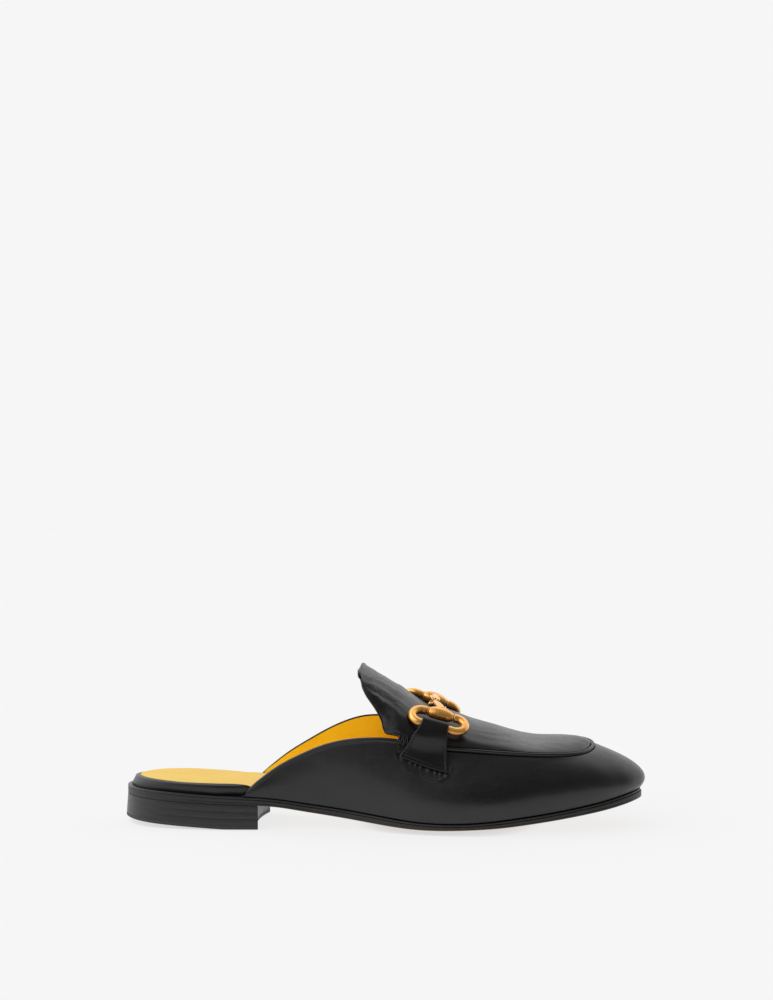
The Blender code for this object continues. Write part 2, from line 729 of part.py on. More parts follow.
def make_ring(side, name, finish):
    """A long ring of round wire: two straight bars, two half rounds, and a thinner pin for the barrel."""
    middle, forward, upward, outward = bit_frame(side)
    end_radius = RING_BAR_SPACING / 2
    straight = (RING_LENGTH - RING_WIRE - RING_BAR_SPACING) / 2
    half_pin = BARREL_LENGTH / 2 + GAP
    path = []
    radii = []
    for end in (1, -1):
        for turn in np.linspace(-math.pi / 2, math.pi / 2, 9):
            along = straight + end_radius * math.cos(turn)
            path.append(middle + end * (forward * along + upward * end_radius * math.sin(turn)))
            radii.append(RING_WIRE / 2)
        if end > 0:
            for along, wire in ((half_pin + RING_SHOULDER, RING_WIRE), (half_pin, RING_PIN),
                                (-half_pin, RING_PIN), (-half_pin - RING_SHOULDER, RING_WIRE)):
                path.append(middle + forward * (trim(side, "slide") + along) + upward * end_radius)
                radii.append(wire / 2)
    points, faces = tube(path, np.array(radii), outward, 8, closed=True)
    return new_object(name, points, faces, finish, smooth_angle=60)


def join(first, second):
    """Unite two solids with an exact Boolean, and keep the first."""
    union = first.modifiers.new("join", "BOOLEAN")
    union.operation = "UNION"
    union.solver = "EXACT"
    union.object = second
    depsgraph = bpy.context.evaluated_depsgraph_get()
    joined = bpy.data.meshes.new_from_object(first.evaluated_get(depsgraph))
    first.modifiers.clear()
    first.data = joined
    bpy.data.objects.remove(second)


def make_arm(side, name, finish):
    """Half of the bit's mouthpiece: a barrel bored for the ring, a tapering arm, and an eye at its end."""
    middle, forward, upward, outward = bit_frame(side)
    axis = middle + upward * RING_BAR_SPACING / 2 + forward * trim(side, "slide")
    half = BARREL_LENGTH / 2
    bore = RING_PIN / 2 + GAP
    neck = BARREL_NECK / 2
    body = half - COLLAR_LENGTH
    belly = BARREL_DIAMETER / 2 - neck
    swell = [(body * k / 3, neck + belly * (1 - (k / 3) ** 2)) for k in range(-3, 4)]
    outline = [(-half, bore), (-half, neck), (-body - GAP, neck + GAP), *swell,
               (body + GAP, neck + GAP), (half, neck), (half, bore)]
    segments = 12
    turns = [2 * math.pi * k / segments for k in range(segments)]
    points = [axis + forward * along + (upward * math.cos(turn) + outward * math.sin(turn)) * radius
              for along, radius in outline for turn in turns]
    faces = grid_faces(len(outline), segments, wrap=True)
    last = (len(outline) - 1) * segments
    faces += [(last + k, k, (k + 1) % segments, last + (k + 1) % segments) for k in range(segments)]
    arm = new_object(name, points, faces, finish)

    joint_x = (trim(-1, "bit_x") + trim(1, "bit_x")) / 2
    joint_row = np.interp(joint_x, wall_table["top"], arch_row)
    crest, ahead = arch_point(np.array([joint_row, joint_row + 0.2]), 0.5)
    crest_way = unit(ahead - crest)
    crest_square = unit(np.cross(crest_way, [0, 1, 0]))
    joint = crest + crest_square * (EYE_RADIUS * math.sqrt(0.5) + EYE_WIRE / 2 + 2 * GAP)
    eye_shift = EYE_RADIUS - (EYE_WIRE + GAP) / 2
    eye = joint + np.array([0, side * eye_shift, 0])
    heading = unit(np.array([axis[0] - joint[0], axis[1] - joint[1], 0]))
    root = math.radians(trim(side, "arm_lean"))
    start = axis + (upward * math.cos(root) + outward * math.sin(root)) * (bore + GAP)
    rise = start + (upward * math.cos(root) + outward * math.sin(root)) * ARM_ROOT_RISE
    finish_point = eye + heading * EYE_RADIUS
    bend = finish_point + heading * (0.55 * abs(axis[1] - finish_point[1]))
    shares = np.linspace(0, 1, 6)
    path = bezier(start, rise, bend, finish_point, shares)
    radii = (ARM_DIAMETER + (ARM_NECK - ARM_DIAMETER) * shares ** 0.8) / 2
    bar = new_object(name + "_bar", *tube(path, radii, forward, 8), finish)
    join(arm, bar)

    flat_way = unit(crest_way - side * crest_square)
    round_way = [2 * math.pi * k / 12 for k in range(12)]
    loop = [eye + (heading * math.cos(turn) + flat_way * math.sin(turn)) * EYE_RADIUS for turn in round_way]
    wire = tube(loop, EYE_WIRE / 2, np.cross(heading, flat_way), 6, closed=True)
    eye_ring = new_object(name + "_eye", *wire, finish)
    join(arm, eye_ring)
    arm.data.shade_smooth()
    arm.data.set_sharp_from_angle(angle=math.radians(40))
    return arm


def make_tab(side, name, finish, columns=4):
    """Strap that is stitched to the wall, laps the seam, and folds over the ring's lower bar."""
    middle, forward, upward, outward = bit_frame(side)
    bar = middle - upward * RING_BAR_SPACING / 2
    around_bar = RING_WIRE / 2 + GAP + TAB_THICKNESS / 2
    lying = GAP + TAB_THICKNESS / 2 + 0.1
    start = trim(side, "bit_reach") - RING_BAR_SPACING / 2 - TAB_STANDOFF
    strap = table(STRAP)
    grid = []
    for share in np.linspace(0, 1, columns + 1):
        top_station, foot_station, drop = [
            (1 - share) * trim(side, f"{part}_back") + share * trim(side, f"{part}_front")
            for part in ("fold", "foot", "drop")]
        fold = bar + forward * (top_station - bar[0]) / forward[0]

        def lifted(spread, reach, height):
            station = top_station + (foot_station - top_station) * spread
            place, *_, out_way = skin_frame(side, station, reach)
            return place + out_way * height

        strip = [lifted(0.25, TAB_TAIL_REACH, lying)]
        for turn in np.linspace(-math.pi / 2 - 0.35, math.pi / 2 + 0.6, 8):
            strip.append(fold + (outward * math.sin(turn) + upward * math.cos(turn)) * around_bar)
        strip += [lifted(spread, start - (drop + start) * way, lying + height)
                  for way, spread, height in zip(strap["way"], strap["spread"], strap["height"])]
        grid.append(strip)
    grid = np.array(grid).transpose(1, 0, 2)
    square = unit(np.cross(np.gradient(grid, axis=0), np.gradient(grid, axis=1)))
    return solid_between(name, grid - square * TAB_THICKNESS / 2, grid + square * TAB_THICKNESS / 2, finish,
                         smooth_angle=50)


def make_bit_and_tabs(finishes):
    for side, side_name in ((-1, "lateral"), (1, "medial")):
        make_ring(side, f"bit_ring_{side_name}", finishes["brass"])
        make_arm(side, f"bit_arm_{side_name}", finishes["brass"])
        make_tab(side, f"saddle_tab_{side_name}", finishes["black_leather"])


# ---------------------------------------------------------------- the model

def main():
    for thing in list(bpy.data.objects):
        bpy.data.objects.remove(thing)
    finishes = {
        "black_leather": material("black_leather", (0.012, 0.012, 0.013), 0.42),
        "yellow_leather": material("yellow_leather", (0.80, 0.46, 0.07), 0.6),
        "sole_leather": material("sole_leather", (0.03, 0.022, 0.018), 0.45),
        "black_edge": material("black_edge", (0.012, 0.012, 0.013), 0.35),
        "heel_rubber": material("heel_rubber", (0.02, 0.02, 0.02), 0.7),
        "brass": material("brass", (0.62, 0.38, 0.12), 0.3, 1.0),
    }
    make_bottom(finishes)
    make_heel(finishes)
    make_upper(finishes)
    make_bit_and_tabs(finishes)


main()
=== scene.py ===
"""Looks of a backless loafer with a moccasin seam, saddle tabs and a plain snaffle bit, around its CAD frame.

Lengths in the tables and in the shape functions are millimetres in the shoe's own frame: x runs from the heel
towards the toe, y is negative on the lateral side, z is the height above the floor. Objects are placed in
metres, with the origin on the floor under the middle of the heel's tread, as in the frame.
"""
import math

import bmesh
import bpy
import numpy as np
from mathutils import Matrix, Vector


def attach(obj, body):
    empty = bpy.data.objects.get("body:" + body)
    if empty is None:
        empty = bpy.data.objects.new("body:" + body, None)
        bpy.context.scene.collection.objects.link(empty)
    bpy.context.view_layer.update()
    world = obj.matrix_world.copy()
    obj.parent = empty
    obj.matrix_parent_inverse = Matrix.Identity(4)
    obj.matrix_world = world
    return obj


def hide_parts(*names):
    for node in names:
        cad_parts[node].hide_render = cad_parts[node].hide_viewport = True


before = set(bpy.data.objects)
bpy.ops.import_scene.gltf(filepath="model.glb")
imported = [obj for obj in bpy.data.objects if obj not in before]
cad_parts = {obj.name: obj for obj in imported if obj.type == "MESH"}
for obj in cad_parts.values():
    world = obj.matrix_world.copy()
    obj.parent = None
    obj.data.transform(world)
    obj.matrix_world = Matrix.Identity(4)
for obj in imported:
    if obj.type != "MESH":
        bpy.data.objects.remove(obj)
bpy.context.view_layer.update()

MM = 0.001
HEEL_TREAD_X = 55.0          # station of the origin, on the flat of the heel's tread

WALL = 1.8                   # upper leather with its lining
LEATHER = 1.0                # upper leather alone
LINING_GAP = 0.06            # between leather and lining
FOLD = 0.8                   # how far the leather laps inside a free edge
TONGUE_FOLD = 4.4            # and how much further it does under the tongue
FOOT_INSET = 1.2             # the upper stands this far inside the outsole's edge
SEAT_GAP = 0.3               # between the midsole and what stands on it
RIDGE_HALF_WIDTH = 1.25      # raised moccasin seam
RIDGE_HEIGHT = 1.1
GRAIN = 0.7                  # spacing of the leather's mesh

RIDGE_SINK = 0.5             # how far the roll's middle lies inside the skin
RIDGE_CREST = 0.86           # width of the roll above and below its middle, as a share of the seam's
RIDGE_ROOT = 1.25
RIDGE_DEPTH = 0.8            # below its middle
RIDGE_PITCH = 2.6            # of the stitches that pinch the roll, and how much they do
RIDGE_PINCH = 0.05
RIDGE_STEPS = 900
RIDGE_SIDES = 20
PUCKER_HEIGHT = 0.28         # gathers of the wall below a tab, and how deep its end sinks in
PUCKER_DENT = 0.25

MIDSOLE = 1.1
LAYER_GAP = 0.04             # line between two layers of the bottom
INSOLE_HEEL = 3.9
INSOLE_FOREFOOT = 2.1
INSOLE_EDGE = 1.9            # inset at the heel, where the insole's edge shows
INSOLE_CLEARANCE = 0.4       # between the insole and the upper's lining
INSOLE_TUCK = (46, 57)       # stations between which it goes inside the upper's wall
INSOLE_SKIVE = (75, 130)     # and between which it thins to the forefoot
SOCK = 0.8
TOP_PIECE = 1.9
HEEL_LIFTS = 3
HEEL_BREAST_X = 67.5
HEEL_BREAST_HOLLOW = 3.0
HEEL_FLARE = 0.8             # the heel's back stands out this much more at the floor
TREAD_FLAT_X = 50.0          # behind this station the heel's tread rises to its back
TREAD_RISE = 3.0
HEEL_SEAT = (20.0, 66.0)     # stations at which the heel's flat top meets the outsole's underside
TOP_PIECE_FLARE = 0.9        # share of the flare that is left at the top piece's top
TOP_PIECE_BEVEL = 0.16
LIFT_BEVEL = 0.014
LIFT_GAP = 0.01              # line between two lifts

RING_LENGTH = 31.2           # snaffle ring, outside
RING_BAR_SPACING = 10.0      # between the middles of its two long bars
RING_WIRE = 4.4
RING_PIN = 2.6               # the wire is thinner where it runs through the barrel
BARREL_LENGTH = 13.4
BARREL_DIAMETER = 7.2
BARREL_PLAY = 0.15           # between the barrel and the ring's pin and shoulders
BIT_HEIGHT = 4.1             # middle of the rings above the skin
ARM_DIAMETER = 5.0           # at the barrel
ARM_NECK = 2.6               # at the eye
ARM_ROOT_RISE = 2.2          # how far the arm keeps to its first direction
ARM_BEND = 0.55              # and how far to its last, as a share of its reach across the shoe
ARM_STEPS = 40
COLLAR_HEIGHT = 0.35         # ring round the arm beside the barrel
COLLAR_PLACE = 0.10          # share of the arm's way
COLLAR_WIDTH = 0.05
EYE_RADIUS = 2.6             # middle of the eye's wire
EYE_WIRE = 1.9
WIRE_GAP = 0.3
RING_END_STEPS = 40          # points round each end of a ring, and sides of its wire
RING_SIDES = 28
BARREL_SIDES = 48
ARM_SIDES = 26
EYE_SIDES = 18
EYE_STEPS = 44

TAB_THICKNESS = 1.2
TAB_TAIL_REACH = 2.8         # how far above the seam the tucked end stops
TAB_STANDOFF = 4.5           # how far below the ring's lower bar the strap starts to near the skin
TAB_BAR_GAP = 0.15           # between the ring's bar and the fold
TAB_SKIN_GAP = 0.25          # under the lying end
TAB_EDGE = 0.55              # radius of the strap's cut edge
TAB_SEAM_INSET = 1.5         # of the stitches from the end's border
TAB_SEAM_START = 30          # rows above the end at which the stitching starts
TAB_SEWN = (17, 12)          # distances from the end where its gathers start and are full
TAB_LINES = 9                # lines along the strap that guide its sheet
TAB_FOLD = (-math.pi / 2 - 0.35, math.pi / 2 + 0.6)
TAB_FOLD_STEPS = 8           # points of the strap's turn round the bar, which goes between those two

# Threads in millimetres: pitch of the stitches, length of one, and radius of the thread.
TOPLINE_STITCH = (1.75, 1.3, 0.17)
TAB_STITCH = (1.9, 1.35, 0.26)
TACK_RADIUS = 0.42
THREAD_SIDES = 7
TACK_SIDES = 8


# Outsole's outline seen from below, heel back to toe tip.
PLAN = """
    x lateral medial
 -2.4     0.0    0.0
  1.0   -11.5   11.5
  9.0   -20.5   20.5
 21.0   -25.8   25.6
 36.0   -28.0   27.9
 52.0   -28.3   27.5
 68.0   -27.3   25.2
 84.0   -25.9   22.4
 99.0   -25.8   21.0
115.0   -28.3   21.8
130.0   -32.0   25.2
145.0   -36.0   29.9
160.0   -38.8   34.4
174.0   -39.5   37.8
188.0   -38.3   39.0
202.0   -35.2   37.7
216.0   -31.2   34.9
229.0   -25.9   30.8
240.0   -20.1   26.1
249.0   -13.2   20.7
255.9    -5.4   13.8
259.2     4.2    4.2
"""

# Side view of the bottom: lower edge of the outsole, line on which the upper stands, and how far the middle
# of the outsole's underside and of its top hang below their edges.
BOTTOM = """
    x under feather crown dish
 -5.0 14.54    18.7   0.0  0.0
 20.0 13.63    18.3   0.0  0.0
 45.0 12.71    16.9   0.0  0.0
 66.0 11.94    15.8   0.0  0.0
 76.0  11.2    14.9   0.2  0.2
 89.0   9.2    13.0   0.8  0.5
101.0   7.5    11.4   1.3  0.9
115.0   5.7     9.6   1.9  1.3
130.0   3.8     7.6   2.6  1.7
145.0   2.5     5.9   3.0  1.9
160.0   2.4     5.4   3.1  2.0
175.0   3.0     5.9   3.1  2.0
190.0   4.0     7.3   2.9  1.8
205.0   5.6     9.1   2.4  1.4
220.0   7.5    11.2   1.8  0.9
235.0   9.6    13.6   1.1  0.4
248.0  11.8    16.1   0.5  0.1
262.0  14.9    19.1   0.2  0.0
"""

# Wall of the upper, one row for each section from the quarter's end to the toe tip: station of its foot, its
# top edge on either side, the angle below the horizontal at which the wall leaves that edge, and how far its
# lower handle stands out past the foot. From THROAT on, the top edge is the moccasin seam.
WALL_SECTIONS = """
 foot   top lat_y lat_z med_y med_z slope belly
 59.5  61.3 -26.7  18.4  25.0  18.4    90   0.2
 64.0  65.5 -26.3  23.0  24.7  22.4    90   0.6
 70.0  71.6 -25.9  27.9  24.0  27.6    90   1.0
 77.0  78.5 -25.6  32.7  23.5  32.9    90   1.4
 85.0  86.5 -25.6  37.0  23.6  38.0    89   1.8
 94.0  95.5 -26.1  41.2  24.5  43.2    88   2.2
104.0 105.0 -27.1  44.5  25.7  47.7    87   2.7
115.5 116.0 -28.4  46.6  27.4  50.9    85   3.2
127.0 127.5 -29.5  47.3  28.5  51.4    83   3.7
139.0 138.8 -29.8  46.8  29.0  50.4    78   4.2
151.0 149.0 -29.4  44.2  29.2  47.4    72   4.6
163.5 160.0 -29.0  42.1  29.3  45.1    67   5.0
176.5 171.5 -28.4  41.1  29.3  43.5    62   5.2
189.5 183.0 -27.5  40.2  29.1  42.3    57   5.3
201.5 194.0 -26.5  39.4  28.5  41.3    51   5.3
213.0 205.0 -25.1  38.7  27.2  40.7    45   5.3
224.0 215.0 -22.9  38.3  24.8  40.7    38   5.5
234.0 223.0 -19.4  38.2  21.0  41.1    31   6.1
242.5 229.0 -14.2  38.5  16.0  41.3    25   7.2
250.5 233.0  -7.3  39.4   9.6  41.0    20   8.8
259.2 234.5   1.2  40.4   1.2  40.4    17  10.6
"""
THROAT = 9                   # row of the throat's corner

# Free edge of the tongue, from its tip to the throat's corner.
TONGUE_EDGE = """
    x lat_y lat_z med_y med_z
118.3 -16.0  77.2  17.0  78.0
118.7 -19.8  73.6  19.8  74.8
119.8 -22.1  69.9  22.1  71.3
121.9 -23.6  66.2  23.6  67.9
124.8 -24.7  62.2  24.7  64.2
127.6 -25.6  57.6  25.6  60.0
129.6 -26.6  52.8  26.4  55.8
131.0 -27.8  48.9  27.2  52.6
134.8 -29.0  48.1  28.2  51.9
"""

# Arches across the tongue and the plug, from the tongue's tip to the front of the plug, in step with the
# rows of the tongue's edge and then with those of the wall: station and height of the crest, and the angle
# at which the arch leaves its edges.
ARCHES = """
crest_x crest_z lift
  117.0    80.5   36
  117.9    80.2   51
  119.2    79.5   62
  121.2    78.3   70
  123.3    77.0   77
  125.6    75.5   82
  128.3    74.0   86
  130.8    72.5   87
  134.8    70.1   86
  138.9    67.7   84
  149.0    60.2   78
  160.0    57.2   70
  171.5    53.1   61
  183.0    49.8   53
  194.0    46.0   47
  205.0    43.4   42
  215.0    43.5   38
  222.8    43.5   34
  228.5    43.6   30
  232.0    42.6   25
  233.3    41.4   20
"""

# Bit and tabs on the lateral side (-1) and the medial side (1): station of the ring's middle, how far up the
# plug from the seam it lies, and its turn on the skin; how far towards the toe the barrel sits on the ring,
# and the angle from the ring's plane at which the arm starts; stations of the tab's two edges at its fold
# and at its stitched end, and how far below the seam the corners of that end lie.
TRIM = """
side bit_x bit_reach bit_turn slide arm_lean fold_back fold_front foot_back foot_front drop_back drop_front
  -1 157.0      12.6     -7.0   0.0       12     149.4      162.5     138.6      161.4       8.5       12.5
   1 150.6       9.8     -3.3   0.8      -12     143.4      155.6     135.8      155.7      11.0       13.0
"""

# Middle of a tab's strap from the standoff below the ring down to its stitched end: share of the way, how
# far its edges have spread from the fold's stations to the foot's, and its height over the lying end.
STRAP = """
 way spread height
 0.0   0.45    4.1
0.22   0.55    2.3
0.48   0.68    0.8
0.74   0.84    0.1
 1.0    1.0    0.0
"""


# ---- curves and tables

def table(text):
    """Read a table of named columns, and return each column as an array."""
    lines = [line.split() for line in text.strip().splitlines()]
    rows = np.array([[float(word) for word in line] for line in lines[1:]])
    return {name: rows[:, column] for column, name in enumerate(lines[0])}


def spline(knots, values, closed=False):
    """Cubic spline through values at knots, as a function; natural at its ends, or closed in a loop."""
    knots = np.asarray(knots, float)
    values = np.asarray(values, float)
    count = len(knots)
    step = np.diff(knots)
    rise = np.diff(values) / step
    system = np.zeros((count, count))
    right = np.zeros(count)
    for k in range(1, count - 1):
        system[k, k - 1:k + 2] = step[k - 1], 2 * (step[k - 1] + step[k]), step[k]
        right[k] = 6 * (rise[k] - rise[k - 1])
    if closed:
        system[0, [0, 1, -2, -1]] = 2 * step[0], step[0], step[-1], 2 * step[-1]
        right[0] = 6 * (rise[0] - rise[-1])
        system[-1, [0, -1]] = 1, -1
    else:
        system[0, 0] = system[-1, -1] = 1
    bend = np.linalg.solve(system, right)

    def value(at):
        at = np.asarray(at, float)
        k = np.clip(np.searchsorted(knots, at, side="right") - 1, 0, count - 2)
        before = at - knots[k]
        after = knots[k + 1] - at
        cubic = (bend[k] * after ** 3 + bend[k + 1] * before ** 3) / (6 * step[k])
        low = (values[k] / step[k] - bend[k] * step[k] / 6) * after
        high = (values[k + 1] / step[k] - bend[k + 1] * step[k] / 6) * before
        return cubic + low + high
    return value


def smooth_step(value, low, high):
    share = np.clip((value - low) / (high - low), 0, 1)
    return share * share * (3 - 2 * share)


def swell(value, middle, width):
    """Bell-shaped swell: 1 at its middle, and about a third at its width from there."""
    return np.exp(-((value - middle) / width) ** 2)


def unit(vectors):
    return vectors / np.linalg.norm(vectors, axis=-1, keepdims=True)


def bezier(p0, p1, p2, p3, share):
    share = np.asarray(share, float)[..., None]
    rest = 1 - share
    return rest ** 3 * p0 + 3 * rest ** 2 * share * p1 + 3 * rest * share ** 2 * p2 + share ** 3 * p3


def reach_along(points):
    """Distance of each point from the first, along a line or down each column of a grid."""
    steps = np.linalg.norm(np.diff(points, axis=0), axis=-1)
    return np.concatenate([np.zeros_like(steps[:1]), np.cumsum(steps, axis=0)])


def point_at(distance, reach, line):
    """Point of a line at a distance along it; reach holds the distances of its own points."""
    return np.stack([np.interp(distance, reach, line[:, axis]) for axis in range(3)], -1)


# ---- outline of the sole

SOLE_RUNGS = 260             # rows of the grids over the sole, from its back to the toe, and their columns
SOLE_COLUMNS = 26

plan_table = table(PLAN)
outline_x = np.concatenate([plan_table["x"], plan_table["x"][-2::-1]])
outline_y = np.concatenate([plan_table["lateral"], plan_table["medial"][-2::-1]])
chords = np.hypot(np.diff(outline_x), np.diff(outline_y))
outline_knots = np.concatenate([[0.0], np.cumsum(chords)])
toe_knot = outline_knots[len(plan_table["x"]) - 1]
loop_length = outline_knots[-1]
loop_x = spline(outline_knots, outline_x, closed=True)
loop_y = spline(outline_knots, outline_y, closed=True)
PROBE = 0.05                 # distance over which the outline's direction is taken


def plan(share, inset=0.0):
    """Point of the outline: share 0 is the heel's back, 1/2 the toe tip, below 1/2 the lateral side."""
    share = np.asarray(share, float) % 1.0
    lateral = share * 2 * toe_knot
    medial = toe_knot + (share * 2 - 1) * (loop_length - toe_knot)
    at = np.where(share <= 0.5, lateral, medial)
    ahead = (at + PROBE) % loop_length
    behind = (at - PROBE) % loop_length
    along_x, along_y = (curve(ahead) - curve(behind) for curve in (loop_x, loop_y))
    outward = np.stack([along_y, -along_x], -1) / np.hypot(along_x, along_y)[..., None]
    point = np.stack([loop_x(at), loop_y(at)], -1)
    return point - np.asarray(inset, float)[..., None] * outward, outward


fine_shares = np.linspace(0, 0.5, 800)
lateral_line = plan(fine_shares)[0]
medial_line = plan(1 - fine_shares)[0]


def share_at(station, side):
    """Share of the outline at a station, on the lateral side (-1) or the medial side (+1)."""
    line = lateral_line if side < 0 else medial_line
    share = np.interp(station, line[:, 0], fine_shares)
    return share if side < 0 else 1 - share


def across(x, y):
    """Place across the sole: -1 at its lateral edge, 0 in the middle, 1 at its medial edge."""
    lateral = np.interp(x, lateral_line[:, 0], lateral_line[:, 1])
    medial = np.interp(x, medial_line[:, 0], medial_line[:, 1])
    half = np.maximum((medial - lateral) / 2, 1.0)
    return np.clip((y - (medial + lateral) / 2) / half, -1, 1)


bottom_table = table(BOTTOM)
under_edge, feather, crown, dish = (spline(bottom_table["x"], bottom_table[name])
                                    for name in ("under", "feather", "crown", "dish"))


def tread_height(x, y):
    """Underside of the outsole, with a flat at the ball where it meets the floor."""
    return np.maximum(under_edge(x) - crown(x) * (1 - across(x, y) ** 2), 0.0)


def seat_height(x, y):
    """Top of the midsole, on which upper and insole stand."""
    return feather(x) - dish(x) * (1 - across(x, y) ** 2)


def raised(flat, height):
    """Points in space from points of a plan and their heights."""
    return np.concatenate([flat, height[..., None]], -1)


def over_outline(lateral_share, medial_share, blend, inset):
    """Flat grid whose rows run from the outline's lateral to its medial side; the inset is by station."""
    lateral, medial = (plan(share, inset(plan(share)[0][:, 0]))[0]
                       for share in (lateral_share, medial_share))
    blend = blend[None, :, None]
    return lateral[:, None] * (1 - blend) + medial[:, None] * blend


def sole_leaf(inset, height):
    """Grid over the whole outline, which closes up at both ends."""
    shares = 0.25 * (1 - np.cos(np.pi * np.arange(SOLE_RUNGS + 1) / SOLE_RUNGS))
    flat = over_outline(shares, 1 - shares, np.linspace(0, 1, SOLE_COLUMNS + 1), inset)
    return raised(flat, height(flat[..., 0], flat[..., 1]))


def insole_inset(x):
    """The insole shows its edge at the heel, and lies inside the upper's wall from the waist on."""
    inside_wall = FOOT_INSET + WALL + INSOLE_CLEARANCE
    return INSOLE_EDGE + (inside_wall - INSOLE_EDGE) * smooth_step(x, *INSOLE_TUCK)


def insole_top(x):
    """Height of the insole's top over the midsole."""
    return SEAT_GAP + INSOLE_HEEL + (INSOLE_FOREFOOT - INSOLE_HEEL) * smooth_step(x, *INSOLE_SKIVE)


def grid_faces(rows, columns, start=0, wrap=False, closed=False):
    """Quads of a grid stored row by row; wrap joins its last column to the first, closed its last row."""
    faces = []
    for row in range(rows if closed else rows - 1):
        here = start + row * columns
        there = start + (row + 1) % rows * columns
        for column in range(columns if wrap else columns - 1):
            beside = (column + 1) % columns
            faces.append((here + column, there + column, there + beside, here + beside))
    return faces


def tube_faces(rings, sides, closed=False):
    """Faces round a tube whose points are stored ring by ring; an open one gets two end caps."""
    caps = [] if closed else [range(sides), range(rings * sides - 1, (rings - 1) * sides - 1, -1)]
    return grid_faces(rings, sides, wrap=True, closed=closed) + caps


def rim(grid):
    """Points round the edge of a grid, in order."""
    return np.concatenate([grid[:-1, 0], grid[-1, :-1], grid[:0:-1, -1], grid[0, :0:-1]])


# ---- meshes

MERGE = 0.004                # points of a piece closer than this become one, and those of a thread
THREAD_MERGE = 0.0001
SHORTEST_EDGE = 0.0005


def new_solid(name, points, faces, merge=None):
    """Object in metres from points in millimetres, its faces turned outward; merge joins close points."""
    mesh = bpy.data.meshes.new(name)
    placed = (np.asarray(points, float) - [HEEL_TREAD_X, 0, 0]) * MM
    mesh.from_pydata(placed.tolist(), [], [list(map(int, face)) for face in faces])
    work = bmesh.new()
    work.from_mesh(mesh)
    if merge:
        bmesh.ops.remove_doubles(work, verts=work.verts, dist=merge * MM)
        bmesh.ops.dissolve_degenerate(work, edges=work.edges, dist=SHORTEST_EDGE * MM)
    bmesh.ops.recalc_face_normals(work, faces=work.faces)
    work.to_mesh(mesh)
    work.free()
    solid = bpy.data.objects.new(name, mesh)
    bpy.context.scene.collection.objects.link(solid)
    return solid


def new_piece(name, points, faces, finish, node=None, slot="black_leather", smooth_angle=None, merge=MERGE):
    """Make a visible piece with a finish; it may stand for a node of the frame."""
    piece = new_solid(name, points, faces, merge)
    piece.data.shade_smooth()
    if smooth_angle:
        piece.data.set_sharp_from_angle(angle=math.radians(smooth_angle))
    piece.data.materials.append(finish)
    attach(piece, "root")
    if node:
        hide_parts(node)
    return piece


def solid_between(name, low, high, finish, belts=(), **more):
    """Close two grids of points, alike in rows and columns, into one solid; belts are loops between rims."""
    rows, columns = low.shape[:2]
    faces = grid_faces(rows, columns) + grid_faces(rows, columns, rows * columns)
    loops = [rim(low), *belts, rim(high)]
    start = 2 * rows * columns
    faces += grid_faces(len(loops), len(loops[0]), start, wrap=True)
    points = np.concatenate([low.reshape(-1, 3), high.reshape(-1, 3), *loops])
    new_piece(name, points, faces, finish, **more)


def grid_normals(grid):
    """Direction square to a grid of points, at each point, and the same way over the whole grid."""
    normals = np.cross(np.gradient(grid, axis=0), np.gradient(grid, axis=1))
    length = np.linalg.norm(normals, axis=-1, keepdims=True)
    return normals / np.maximum(length, 1e-9)


def resample(dense, distances):
    """Points of each dense line at the given distances along it."""
    reach = reach_along(dense.swapaxes(0, 1)).T
    return np.array([point_at(*line) for line in zip(distances, reach, dense)])


def line_length(line):
    return np.linalg.norm(np.diff(line, axis=-2), axis=-1).sum(-1)


WAVES = 7                    # waves that make up an irregular field, and the height that they reach
WAVES_REACH = 3.2


def wave(points, scale, seed):
    """Smooth irregular field of about -1 to 1 over points, with swells about scale apart."""
    random = np.random.default_rng(seed)
    total = np.zeros(points.shape[:-1])
    for _ in range(WAVES):
        way = unit(random.normal(size=3)) * (2 * math.pi / scale) * random.uniform(0.7, 1.35)
        total += np.sin(points @ way + random.uniform(0, 2 * math.pi))
    return total / WAVES_REACH


# ---- form of the upper

wall_table = table(WALL_SECTIONS)
LAST_ROW = len(wall_table["foot"]) - 1
tongue_table = table(TONGUE_EDGE)
arch_table = table(ARCHES)
UP = np.array([0.0, 0.0, 1.0])


def row_at(at):
    """Row of the tables at a place along the sections, on either side of the shoe."""
    return np.minimum(at, 2 * LAST_ROW - at)


def both_sides(lateral, medial):
    """Spline over the sections from the lateral quarter round the toe to the medial quarter."""
    values = np.concatenate([lateral, medial[-2::-1]])
    return spline(np.arange(len(values)), values)


foot_share = both_sides(*[share_at(wall_table["foot"], side) for side in (-1, 1)])
top_x, wall_slope, wall_belly = (both_sides(wall_table[name], wall_table[name])
                                 for name in ("top", "slope", "belly"))
top_y, top_z = (both_sides(wall_table["lat" + axis], wall_table["med" + axis]) for axis in ("_y", "_z"))
arch_row = np.arange(LAST_ROW + 1)
crest_x, crest_z, arch_lift = (spline(arch_row, arch_table[name]) for name in ("crest_x", "crest_z", "lift"))


def wall_foot(at):
    """Point where the wall stands on the midsole, at a place along the sections, and its outward way."""
    foot, outward = plan(foot_share(at), FOOT_INSET)
    foot = raised(foot, seat_height(foot[..., 0], foot[..., 1]) + SEAT_GAP)
    return foot, raised(outward, np.zeros(outward.shape[:-1]))


def seam_middle(at):
    """Top edge of the wall; from the throat on, the middle of the raised seam."""
    return np.stack([top_x(at), top_y(at), top_z(at)], -1)


def seam_half_width(at):
    """Half the width of the seam, which tapers out behind the throat's corner."""
    row = row_at(at)
    width = RIDGE_HALF_WIDTH * (0.3 + 0.7 * smooth_step(row, THROAT, THROAT + 1.2))
    return (width * smooth_step(row, THROAT - 1.0, THROAT))[..., None]


OUTLINE_WEIGHT = 5.0         # of the outline's outward way against the way from the seam to the wall's foot


